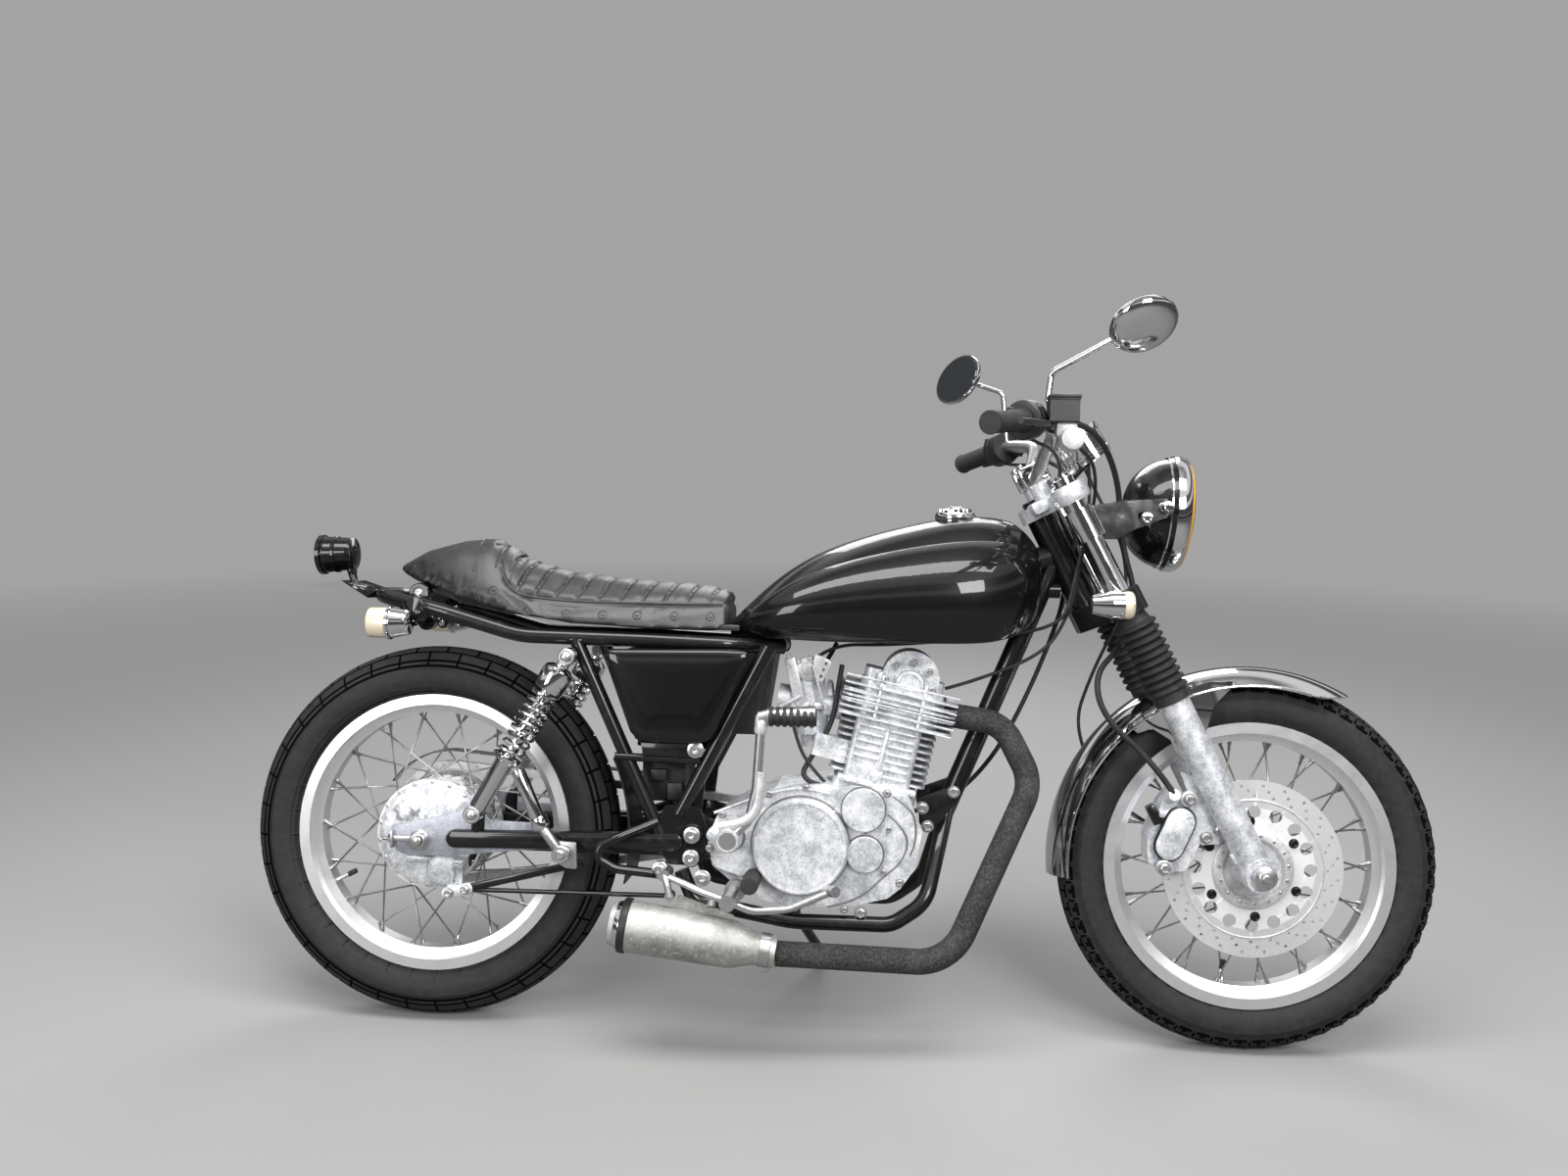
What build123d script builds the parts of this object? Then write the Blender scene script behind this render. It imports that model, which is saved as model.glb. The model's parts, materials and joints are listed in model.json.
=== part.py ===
from build123d import *
import os
from math import cos, sin, radians, atan2, hypot, acos, pi

# A light single-cylinder motorcycle rebuilt as a cafe racer. Millimetres.
# The sizes below are in the upright machine: +X forward, +Y to its left, +Z up,
# with the rear axle over X = 0 and the floor at Z = 0. The finished pieces are then
# leaned together onto the side stand, as the machine parks.

# Wheels
WHEELBASE = 1410
REAR_TYRE_R = 327
REAR_TYRE_WIDTH = 112
FRONT_TYRE_R = 318
FRONT_TYRE_WIDTH = 94
RIM_SEAT_R = 229
RIM_FLANGE_R = RIM_SEAT_R + 14
RIM_WELL_R = RIM_SEAT_R - 15
RIM_HALF_WIDTH = 38
RIM_WALL = 4
SPOKE_R = 1.7
SPOKE_PAIRS = 9
SPOKE_LEAN = 42
FIT = 0.3

# Steering and fork
RAKE = 27.4
FORK_OFFSET = 48
FORK_HALF_SPACING = 100
FORK_TUBE_R = 18
SLIDER_R = 26
SLIDER_TOP = 332
GAITER_TOP = 474
LOWER_YOKE_BASE = 476
YOKE_THICKNESS = 40
FORK_TOP = 726
UPPER_YOKE_BASE = FORK_TOP - 42
UPPER_YOKE_THICKNESS = 24
HEADSTOCK_R = 25
HEADSTOCK_WALL = 6
RUNNING_FIT = 0.05
STEM_R = HEADSTOCK_R - HEADSTOCK_WALL - RUNNING_FIT
FRONT_AXLE_R = 10
FRONT_AXLE_BORE_R = 6
DISC_R = 149
DISC_BAND_R = 116
DISC_HUB_R = 66
DISC_THICKNESS = 5
DISC_Y = -58
DISC_HOLES = 16
DISC_HOLE_R = 11
DISC_HOLE_RING_R = 95

# Frame
FRAME_HALF_WIDTH = 105
RAIL_R = 13
POST_R = 13
STAY_R = 12
BACKBONE_R = 22
DOWNTUBE_R = 18
PIVOT_X = 465
PIVOT_Z = REAR_TYRE_R + 21
SWING_ARM_Y = 100
SWING_ARM_HEIGHT = 34
SWING_ARM_WIDTH = 24

# Engine
CYLINDER_TILT = 12
CYLINDER_FOOT_X = 775
CYLINDER_FOOT_Z = 438
BARREL_HEIGHT = 108
BARREL_FINS = 8
HEAD_FINS = 6
FIN_THICKNESS = 4
CASE_HALF_WIDTH = 85
CLUTCH_COVER_R = 81
CHAIN_Y = 72
CHAIN_WIDTH = 16
CHAIN_HALF_HEIGHT = 7
REAR_SPROCKET_R = 106
FRONT_SPROCKET_R = 40
FRONT_SPROCKET_X = 545
FRONT_SPROCKET_Z = 345

# Rest
PARKED_LEAN = 8
TYRE_LIFT = 0.5
BAR_HALF_WIDTH = 341
BAR_R = 11
GRIP_R = 16
HEADER_R = 21
MUFFLER_R = 43
MUFFLER_Y = -158
SHOCK_Y = 138

pieces = {}

REAR_AXLE = (0, 0, REAR_TYRE_R)
FRONT_AXLE = (WHEELBASE, 0, FRONT_TYRE_R)

rake = radians(RAKE)
lean = radians(PARKED_LEAN)

# Local axes of the steering: x ahead of the steering axis, y to the left, z up along it,
# with z = 0 abreast of the front axle.
steering = Plane(
    origin=(WHEELBASE - FORK_OFFSET * cos(rake), 0, FRONT_TYRE_R - FORK_OFFSET * sin(rake)),
    x_dir=(cos(rake), 0, sin(rake)),
    z_dir=(-sin(rake), 0, cos(rake)),
)


def steered(ahead, across, up):
    """A point of the steered assembly, given along the steering axes."""
    return steering.from_local_coords((ahead, across, up))


def fore(behind, y, above):
    """A point of the front end, given by how far it is behind and above the front axle."""
    return (WHEELBASE - behind, y, FRONT_TYRE_R + above)


def fore_plate(outline, one_face, other_face, corner=0):
    """A plate that stands fore and aft, from distances behind and above the front axle."""
    points = [(WHEELBASE - behind, FRONT_TYRE_R + above) for behind, above in outline]
    side_plate(points, one_face, other_face, corner)


def between(ahead, behind, share):
    """An X that stays between two others, whatever the wheelbase."""
    return ahead + share * (behind - ahead)


def steered_plane(up):
    """A plane square to the steering axis, at a height along it."""
    return Plane(origin=steered(0, 0, up), x_dir=steering.x_dir, z_dir=steering.z_dir)


def rod(start, end, radius, end_radius=None, mode=Mode.ADD):
    """A straight round bar between two points, or a cone where the radii differ."""
    run = Vector(*end) - Vector(*start)
    base = Plane(origin=start, z_dir=run)
    with BuildSketch(base) as section:
        Circle(radius)
    if end_radius is None:
        extrude(section.sketch, amount=run.length, mode=mode)
    else:
        with BuildSketch(base.offset(run.length)) as top:
            Circle(end_radius)
        loft([section.sketch.faces()[0], top.sketch.faces()[0]], mode=mode)


def tube(points, radii, radius):
    """A round tube along straight runs joined by tangent arcs."""
    with BuildLine() as path:
        FilletPolyline(*points, radius=radii)
    run = Vector(*points[1]) - Vector(*points[0])
    with BuildSketch(Plane(origin=points[0], z_dir=run)) as section:
        Circle(radius)
    sweep(section.sketch, path=path.wire())


def side_plate(outline, one_face, other_face, corner=0):
    """A plate that stands fore and aft, from the outline's X and Z, between two Y values."""
    with BuildSketch(Plane.XZ.offset(-one_face)) as section:
        with BuildLine():
            Polyline(*outline, close=True)
        make_face()
        if corner:
            fillet(section.vertices(), corner)
    extrude(section.sketch, amount=one_face - other_face)


def turned(centre, profile):
    """A ring or disc turned about a wheel's axle; the profile gives Y and radius."""
    with BuildSketch(Plane(origin=centre, x_dir=(0, 1, 0), z_dir=(1, 0, 0))) as section:
        with BuildLine():
            Polyline(*profile, close=True)
        make_face()
    revolve(section.sketch, axis=Axis(centre, (0, 1, 0)))


def tyre(centre, radius, width):
    """A road tyre seated on the rim, with a round crown."""
    bead = RIM_HALF_WIDTH - RIM_WALL - FIT
    half = width / 2
    shoulder = 0.8 * half
    shoulder_r = radius - 0.2 * width
    with BuildSketch(Plane(origin=centre, x_dir=(0, 1, 0), z_dir=(1, 0, 0))) as section:
        with BuildLine():
            Polyline((0, RIM_SEAT_R + FIT), (bead, RIM_SEAT_R + FIT), (bead, RIM_FLANGE_R + 1))
            ThreePointArc(
                (bead, RIM_FLANGE_R + 1),
                (half, 0.5 * (RIM_FLANGE_R + shoulder_r) + 4),
                (shoulder, shoulder_r),
            )
            ThreePointArc(
                (shoulder, shoulder_r),
                (0.5 * shoulder, radius - 0.045 * width),
                (0, radius),
            )
            Line((0, radius), (0, RIM_SEAT_R + FIT))
        make_face()
        mirror(about=Plane.YZ)
    revolve(section.sketch, axis=Axis(centre, (0, 1, 0)))


def rim(centre):
    """A wire wheel's rim: side rings, bead seats and the well between them."""
    half = RIM_HALF_WIDTH
    seat = half - RIM_WALL
    outside = [(half, RIM_FLANGE_R), (half, RIM_SEAT_R - RIM_WALL), (20, RIM_SEAT_R - RIM_WALL)]
    outside += [(15, RIM_WELL_R - RIM_WALL), (-15, RIM_WELL_R - RIM_WALL)]
    outside += [(-20, RIM_SEAT_R - RIM_WALL), (-half, RIM_SEAT_R - RIM_WALL), (-half, RIM_FLANGE_R)]
    inside = [(-seat, RIM_FLANGE_R), (-seat, RIM_SEAT_R), (-16, RIM_SEAT_R), (-11, RIM_WELL_R)]
    inside += [(11, RIM_WELL_R), (16, RIM_SEAT_R), (seat, RIM_SEAT_R), (seat, RIM_FLANGE_R)]
    turned(centre, outside + inside)


def spokes(centre, flange_r, flange_y, rim_y):
    """Crossed wire spokes from both hub flanges to the rim's well."""
    x, _, z = centre
    rim_r = RIM_WELL_R - RIM_WALL + 1
    for side in (-1, 1):
        for pair in range(SPOKE_PAIRS):
            for leading in (-1, 1):
                foot = radians((pair + 0.25 * leading + 0.25 * side) * 360 / SPOKE_PAIRS)
                head = foot + leading * radians(SPOKE_LEAN)
                rod(
                    (x + flange_r * cos(foot), side * flange_y, z + flange_r * sin(foot)),
                    (x + rim_r * cos(head), side * rim_y, z + rim_r * sin(head)),
                    SPOKE_R,
                )


# Rear wheel
with BuildPart() as rear_tyre:
    tyre(REAR_AXLE, REAR_TYRE_R, REAR_TYRE_WIDTH)
pieces["rear_tyre"] = rear_tyre

with BuildPart() as rear_rim:
    rim(REAR_AXLE)
pieces["rear_rim"] = rear_rim

# Drum, flange and sprocket carrier in one turning, hollow on the brake side
SPROCKET_HALF = 3
AXLE_R = 9
REAR_HUB_BORE = AXLE_R + RUNNING_FIT
with BuildPart() as rear_hub:
    turned(REAR_AXLE, [
        (-38, 96), (-38, 86), (20, 86), (20, REAR_HUB_BORE), (CHAIN_Y + SPROCKET_HALF, REAR_HUB_BORE),
        (CHAIN_Y + SPROCKET_HALF, 66), (CHAIN_Y + SPROCKET_HALF, 94),
        (CHAIN_Y - SPROCKET_HALF, 94), (CHAIN_Y - SPROCKET_HALF, 70), (44, 62), (38, 84),
        (34, 96), (28, 96), (26, 91), (-28, 91), (-30, 96),
    ])
    spokes(REAR_AXLE, 93, 31, 8)
    add(rear_rim.part, mode=Mode.SUBTRACT)
pieces["rear_hub"] = rear_hub

# Front wheel
with BuildPart() as front_tyre:
    tyre(FRONT_AXLE, FRONT_TYRE_R, FRONT_TYRE_WIDTH)
pieces["front_tyre"] = front_tyre

with BuildPart() as front_rim:
    rim(FRONT_AXLE)
pieces["front_rim"] = front_rim

FRONT_HUB_BORE = FRONT_AXLE_R + RUNNING_FIT
DISC_FACE = DISC_Y + DISC_THICKNESS / 2
with BuildPart() as front_hub:
    turned(FRONT_AXLE, [
        (DISC_FACE, FRONT_HUB_BORE), (DISC_FACE, DISC_HUB_R), (DISC_FACE + 8, DISC_HUB_R),
        (-40, 58), (-34, 60), (-28, 60), (-24, 34), (24, 34), (28, 60), (34, 60),
        (38, 52), (46, 30), (52, 26), (52, FRONT_HUB_BORE),
    ])
    spokes(FRONT_AXLE, 57, 31, 8)
    add(front_rim.part, mode=Mode.SUBTRACT)
pieces["front_hub"] = front_hub

with BuildPart() as front_disc:
    with BuildSketch(Plane.XZ.offset(-DISC_FACE)) as section:
        with Locations((WHEELBASE, FRONT_TYRE_R)):
            Circle(DISC_R)
            Circle(24, mode=Mode.SUBTRACT)
            with PolarLocations(DISC_HOLE_RING_R, DISC_HOLES):
                Circle(DISC_HOLE_R, mode=Mode.SUBTRACT)
    extrude(section.sketch, amount=DISC_THICKNESS)
pieces["front_disc"] = front_disc

# Frame
HEAD_BOTTOM = LOWER_YOKE_BASE + YOKE_THICKNESS + FIT
HEAD_TOP = UPPER_YOKE_BASE - FIT
HEAD_FOOT = steered(0, 0, HEAD_BOTTOM)
HEAD_CROWN = steered(0, 0, HEAD_TOP)
TAIL_X = -100
TAIL_Z = 744
DOWNTUBE_FORK = (896, 0, 388)
STAND_PIVOT = Vector(628, FRAME_HALF_WIDTH + 14, 180)
STAND_BOLT_R = 7
STAND_LUG_HALF = 6
STAND_FOOT_THICKNESS = 8
STAND_FOOT_Y = 292
foot_rise = (STAND_FOOT_Y * sin(lean) - TYRE_LIFT) / cos(lean) + STAND_FOOT_THICKNESS / 2
STAND_FOOT = Vector(686, STAND_FOOT_Y, foot_rise)
stand_leg = (STAND_FOOT - STAND_PIVOT).normalized()
# The folded leg points to the rear, and the bolt is square to both of its places
stand_axis = stand_leg.cross(Vector(-1, 0.05, 0)).normalized()
with BuildPart() as frame_backbone:
    rod(HEAD_FOOT, HEAD_CROWN, HEADSTOCK_R)
    rod(fore(340, 0, 518), (600, 0, 702), BACKBONE_R)
    rod(fore(410, 0, 460), fore(322, 0, 460), 14)
    rod(HEAD_FOOT, HEAD_CROWN, HEADSTOCK_R - HEADSTOCK_WALL, mode=Mode.SUBTRACT)
pieces["frame_backbone"] = frame_backbone

with BuildPart() as frame_cradle:
    rod(fore(336, 0, 504), DOWNTUBE_FORK, DOWNTUBE_R)
    for side in (-1, 1):
        rail = [
            (904, side * 4, 408), (884, side * 62, 330), (864, side * FRAME_HALF_WIDTH, 250),
            (808, side * FRAME_HALF_WIDTH, 211), (640, side * FRAME_HALF_WIDTH, 211),
            (474, side * FRAME_HALF_WIDTH, 240), (452, side * FRAME_HALF_WIDTH, 290),
        ]
        tube(rail, [70, 60, 50, 200, 30], RAIL_R)
    half_lug = stand_axis * STAND_LUG_HALF
    rod(tuple(STAND_PIVOT - half_lug), tuple(STAND_PIVOT + half_lug), 15)
    rod(tuple(STAND_PIVOT), tuple(STAND_PIVOT - stand_leg * 34), STAND_LUG_HALF - 1)
    half_bolt = stand_axis * (STAND_LUG_HALF + 14)
    rod(tuple(STAND_PIVOT - half_bolt), tuple(STAND_PIVOT + half_bolt), STAND_BOLT_R)
    rod(HEAD_FOOT, HEAD_CROWN, HEADSTOCK_R, mode=Mode.SUBTRACT)
    add(frame_backbone.part, mode=Mode.SUBTRACT)
pieces["frame_cradle"] = frame_cradle

with BuildPart() as frame_posts:
    for side in (-1, 1):
        y = side * FRAME_HALF_WIDTH
        rod((592, y, 672), (446, y, 385), POST_R)
        side_plate(
            [(420, 400), (480, 400), (500, 350), (482, 300), (428, 300), (408, 350)],
            side * (FRAME_HALF_WIDTH - 1), side * (FRAME_HALF_WIDTH + 7), corner=10,
        )
    rod((525, -FRAME_HALF_WIDTH, 541), (525, FRAME_HALF_WIDTH, 541), 10)
    add(frame_cradle.part, mode=Mode.SUBTRACT)
pieces["frame_posts"] = frame_posts

with BuildPart() as frame_stays:
    for side in (-1, 1):
        y = side * FRAME_HALF_WIDTH
        rod((262, y, 676), (423, y, 330), STAY_R)
        loop = [(410, side * 112, 372), (345, side * 138, 346), (300, side * 146, 322),
                (345, side * 142, 296), (420, side * 116, 284)]
        tube(loop, [40, 16, 40], 8)
    add(frame_posts.part, mode=Mode.SUBTRACT)
    add(frame_cradle.part, mode=Mode.SUBTRACT)
pieces["frame_stays"] = frame_stays

with BuildPart() as frame_seat_loop:
    half_loop = [(612, 50, 670), (520, FRAME_HALF_WIDTH, 674), (383, FRAME_HALF_WIDTH, 678),
                 (165, FRAME_HALF_WIDTH, 681), (10, FRAME_HALF_WIDTH, 724), (TAIL_X, 70, TAIL_Z)]
    other_half = [(x, -y, z) for x, y, z in reversed(half_loop)]
    tube(half_loop + other_half, [60, 200, 200, 200, 60, 60, 200, 200, 200, 60], RAIL_R)
    rod((604, -56, 670), (604, 56, 670), RAIL_R)
    add(frame_backbone.part, mode=Mode.SUBTRACT)
    add(frame_posts.part, mode=Mode.SUBTRACT)
    add(frame_stays.part, mode=Mode.SUBTRACT)
pieces["frame_seat_loop"] = frame_seat_loop

# Swing arm and rear suspension
SHOCK_FOOT_Z = REAR_TYRE_R + 52
PIVOT_HALF = FRAME_HALF_WIDTH - 1 - FIT
with BuildPart() as swing_arm:
    for side in (-1, 1):
        y = side * SWING_ARM_Y
        with BuildSketch(Plane.YZ.offset(-38)) as section:
            with Locations((y - side * 6, REAR_TYRE_R + 2)):
                RectangleRounded(SWING_ARM_WIDTH - 8, SWING_ARM_HEIGHT, 6)
        extrude(section.sketch, amount=38 + PIVOT_X)
        rod((100, side * 106, REAR_TYRE_R + 13), (101, side * 106, SHOCK_FOOT_Z), 12)
        rod((101, side * 94, SHOCK_FOOT_Z), (101, side * (SHOCK_Y + 12), SHOCK_FOOT_Z), 7)
    rod((PIVOT_X - 62, -SWING_ARM_Y + 4, REAR_TYRE_R + 9),
        (PIVOT_X - 62, SWING_ARM_Y - 4, REAR_TYRE_R + 9), 19)
    rod((PIVOT_X, -PIVOT_HALF, PIVOT_Z), (PIVOT_X, PIVOT_HALF, PIVOT_Z), 19)
    rod((0, -SWING_ARM_Y - 26, REAR_TYRE_R), (0, SWING_ARM_Y + 26, REAR_TYRE_R), AXLE_R)
    add(frame_posts.part, mode=Mode.SUBTRACT)
    add(frame_stays.part, mode=Mode.SUBTRACT)
pieces["swing_arm"] = swing_arm

# Shocks: eyes at both ends, a lower body, a chrome cup and the coil around them
SHOCK_TOP = (256, 648)
SHOCK_FOOT = (101, SHOCK_FOOT_Z)
SHOCK_LENGTH = hypot(SHOCK_TOP[0] - SHOCK_FOOT[0], SHOCK_TOP[1] - SHOCK_FOOT[1])
COIL_R = 27
COIL_WIRE_R = 4.5
COILS = 8
COIL_PITCH = 17.5
with BuildPart() as shocks:
    for side in (-1, 1):
        y = side * SHOCK_Y
        foot = Vector(SHOCK_FOOT[0], y, SHOCK_FOOT[1])
        top = Vector(SHOCK_TOP[0], y, SHOCK_TOP[1])
        along = (top - foot).normalized()
        rod((foot.X, y - 11, foot.Z), (foot.X, y + 11, foot.Z), 15)
        rod((top.X, y - 11, top.Z), (top.X, y + 11, top.Z), 14)
        # Each length of the shock: from, to and radius
        for start, end, radius in (
            (8, 90, 18), (86, 92, COIL_R + COIL_WIRE_R), (88, SHOCK_LENGTH - 10, 14),
            (SHOCK_LENGTH - 62, SHOCK_LENGTH - 16, COIL_R + 5),
        ):
            rod(tuple(foot + along * start), tuple(foot + along * end), radius)
        for coil in range(COILS):
            level = foot + along * (100 + coil * COIL_PITCH)
            with BuildSketch(Plane(origin=tuple(level), z_dir=along)) as section:
                Circle(COIL_R + COIL_WIRE_R)
                Circle(12, mode=Mode.SUBTRACT)
            extrude(section.sketch, amount=2 * COIL_WIRE_R)
    rod((SHOCK_FOOT[0], -200, SHOCK_FOOT[1]), (SHOCK_FOOT[0], 200, SHOCK_FOOT[1]), 7,
        mode=Mode.SUBTRACT)
pieces["shocks"] = shocks

# Chain: one loop round both sprockets
chain_run = hypot(FRONT_SPROCKET_X, FRONT_SPROCKET_Z - REAR_TYRE_R)
chain_angle = atan2(FRONT_SPROCKET_Z - REAR_TYRE_R, FRONT_SPROCKET_X)
wrap = acos((REAR_SPROCKET_R - FRONT_SPROCKET_R) / chain_run)


def chain_outline(grow):
    """The belt around both sprockets, at a distance from the pitch line."""
    rear_r = REAR_SPROCKET_R + grow
    front_r = FRONT_SPROCKET_R + grow
    up = chain_angle + wrap
    down = chain_angle - wrap
    rear = (0, REAR_TYRE_R)
    front = (FRONT_SPROCKET_X, FRONT_SPROCKET_Z)

    def on(centre, radius, angle):
        return (centre[0] + radius * cos(angle), centre[1] + radius * sin(angle))

    Line(on(rear, rear_r, up), on(front, front_r, up))
    ThreePointArc(on(front, front_r, up), on(front, front_r, chain_angle), on(front, front_r, down))
    Line(on(front, front_r, down), on(rear, rear_r, down))
    ThreePointArc(
        on(rear, rear_r, down), on(rear, rear_r, chain_angle + pi), on(rear, rear_r, up)
    )


with BuildPart() as chain:
    with BuildSketch(Plane.XZ.offset(-CHAIN_Y - CHAIN_WIDTH / 2)) as section:
        with BuildLine():
            chain_outline(CHAIN_HALF_HEIGHT)
        make_face()
        with BuildLine():
            chain_outline(-CHAIN_HALF_HEIGHT)
        make_face(mode=Mode.SUBTRACT)
    extrude(section.sketch, amount=CHAIN_WIDTH)
pieces["chain"] = chain

GUARD_CLEARANCE = 18
with BuildPart() as chain_guard:
    with BuildSketch(Plane.XZ.offset(-CHAIN_Y - 16)) as section:
        with BuildLine():
            chain_outline(CHAIN_HALF_HEIGHT + GUARD_CLEARANCE + 3)
        make_face()
        with BuildLine():
            chain_outline(CHAIN_HALF_HEIGHT + GUARD_CLEARANCE)
        make_face(mode=Mode.SUBTRACT)
        with Locations((0, 200)):
            Rectangle(1400, 400, mode=Mode.SUBTRACT)
        with Locations((700, 400)):
            Rectangle(640, 400, mode=Mode.SUBTRACT)
    extrude(section.sketch, amount=26)
pieces["chain_guard"] = chain_guard

# Rear brake plate with its cam housing and arm, the rod to the pedal and the torque stay
PLATE_Y = -44
PLATE_R = 95
with BuildPart() as brake_plate:
    turned(REAR_AXLE, [
        (PLATE_Y, AXLE_R), (PLATE_Y, PLATE_R), (PLATE_Y - 10, PLATE_R - 2),
        (PLATE_Y - 16, PLATE_R - 15), (PLATE_Y - 20, 30), (PLATE_Y - 34, 26),
        (PLATE_Y - 34, AXLE_R),
    ])
    boss = [(-48, 25), (-62, 44), (-40, 62), (-14, 39)]
    side_plate([(x, REAR_TYRE_R + z) for x, z in boss], PLATE_Y - 14, PLATE_Y - 26, 6)
    rod((62, PLATE_Y - 12, REAR_TYRE_R - 44), (62, PLATE_Y - 44, REAR_TYRE_R - 44), 9)
    arm = [(54, -37), (70, -39), (66, -95), (56, -95)]
    side_plate([(x, REAR_TYRE_R + z) for x, z in arm], PLATE_Y - 34, PLATE_Y - 42, 4)
    rod((61, PLATE_Y - 38, REAR_TYRE_R - 89), (440, PLATE_Y - 106, 256), 4)
pieces["brake_plate"] = brake_plate

# Engine
tilt = radians(CYLINDER_TILT)
cylinder = Plane(
    origin=(CYLINDER_FOOT_X, 0, CYLINDER_FOOT_Z), x_dir=(cos(tilt), 0, -sin(tilt)),
    z_dir=(sin(tilt), 0, cos(tilt)),
)


def cylinder_level(height):
    """A plane square to the cylinder's axis, at a height above its foot."""
    return cylinder.offset(height)


with BuildPart() as crankcase:
    case = [
        (494, 322), (497, 364), (521, 392), (566, 410), (606, 430), (690, 441), (812, 416),
        (842, 380), (846, 318), (816, 276), (770, 244), (640, 238), (545, 262), (502, 296),
    ]
    side_plate(case, -CASE_HALF_WIDTH, CASE_HALF_WIDTH, corner=8)
    with BuildSketch(cylinder_level(-30)) as foot:
        RectangleRounded(146, 130, 14)
    extrude(foot.sketch, amount=30)
    side_plate(
        [(495, 345), (512, 388), (567, 413), (599, 427), (645, 441), (694, 430), (740, 441),
         (798, 434), (834, 424), (846, 392), (856, 370), (845, 308), (822, 274), (800, 256),
         (748, 243), (651, 235), (590, 246), (556, 284), (506, 300)],
        -CASE_HALF_WIDTH, -CASE_HALF_WIDTH - 26, corner=9)
    with BuildSketch(Plane.XZ.offset(-CHAIN_Y + CHAIN_WIDTH / 2 + 5)) as pocket:
        with Locations((FRONT_SPROCKET_X - 4, FRONT_SPROCKET_Z)):
            Circle(FRONT_SPROCKET_R + 16)
            with Locations((-60, 0)):
                Rectangle(120, 2 * FRONT_SPROCKET_R + 32)
    extrude(pocket.sketch, amount=-60, mode=Mode.SUBTRACT)
    sprocket_face = CHAIN_Y - CHAIN_WIDTH / 2 - 5
    rod((FRONT_SPROCKET_X, sprocket_face, FRONT_SPROCKET_Z),
        (FRONT_SPROCKET_X, CHAIN_Y + SPROCKET_HALF, FRONT_SPROCKET_Z),
        FRONT_SPROCKET_R - CHAIN_HALF_HEIGHT - FIT)
    add(frame_cradle.part, mode=Mode.SUBTRACT)
    add(frame_posts.part, mode=Mode.SUBTRACT)
pieces["crankcase"] = crankcase

COVER_FACE = -CASE_HALF_WIDTH - 26
CLUTCH_DEPTH = 26
SMALL_COVERS = [(757, 404, 35), (761, 330, 29)]
with BuildPart() as engine_covers:
    with BuildSketch(Plane.XZ.offset(-COVER_FACE)) as section:
        with Locations((653, 340)):
            Circle(CLUTCH_COVER_R)
    extrude(section.sketch, amount=CLUTCH_DEPTH)
    chamfer(engine_covers.edges().group_by(Axis.Y)[0], 9)
    with BuildSketch(Plane.XZ.offset(-COVER_FACE)) as section:
        for x, z, radius in SMALL_COVERS:
            with Locations((x, z)):
                Circle(radius)
    extrude(section.sketch, amount=14)
    rod((537, -CASE_HALF_WIDTH, 350), (537, COVER_FACE - 20, 350), 19)
    with BuildSketch(Plane.XZ.offset(-CASE_HALF_WIDTH)) as section:
        with Locations((690, 345)):
            Circle(76)
    extrude(section.sketch, amount=-42)
    fillet(engine_covers.edges().group_by(Axis.Y)[-1], 12)
    with BuildSketch(Plane.XZ.offset(-CASE_HALF_WIDTH)) as section:
        with Locations((FRONT_SPROCKET_X + 14, FRONT_SPROCKET_Z)):
            Circle(50)
    extrude(section.sketch, amount=-26)
    add(crankcase.part, mode=Mode.SUBTRACT)
    add(frame_posts.part, mode=Mode.SUBTRACT)
    add(frame_cradle.part, mode=Mode.SUBTRACT)
pieces["engine_covers"] = engine_covers

BARREL_HALF_X = 84
BARREL_HALF_Y = 66
TUNNEL_HALF_X = 57
TUNNEL_FACE = 82
with BuildPart() as barrel:
    with BuildSketch(cylinder_level(0)) as core:
        RectangleRounded(2 * BARREL_HALF_X - 56, 2 * BARREL_HALF_Y - 16, 26)
        with Locations((0, -(TUNNEL_FACE + 30) / 2)):
            RectangleRounded(2 * TUNNEL_HALF_X, TUNNEL_FACE - 30, 8)
    extrude(core.sketch, amount=BARREL_HEIGHT)
    pitch = (BARREL_HEIGHT - 12) / BARREL_FINS
    for fin in range(BARREL_FINS):
        with BuildSketch(cylinder_level(12 + fin * pitch)) as section:
            RectangleRounded(2 * BARREL_HALF_X, 2 * BARREL_HALF_Y, 18)
        extrude(section.sketch, amount=FIN_THICKNESS)
    # Cam chain tensioner, at the back of the chain tunnel
    with BuildSketch(cylinder_level(26)) as tensioner:
        with Locations((-88, -44)):
            RectangleRounded(62, 40, 5)
    extrude(tensioner.sketch, amount=38)
pieces["barrel"] = barrel

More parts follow.
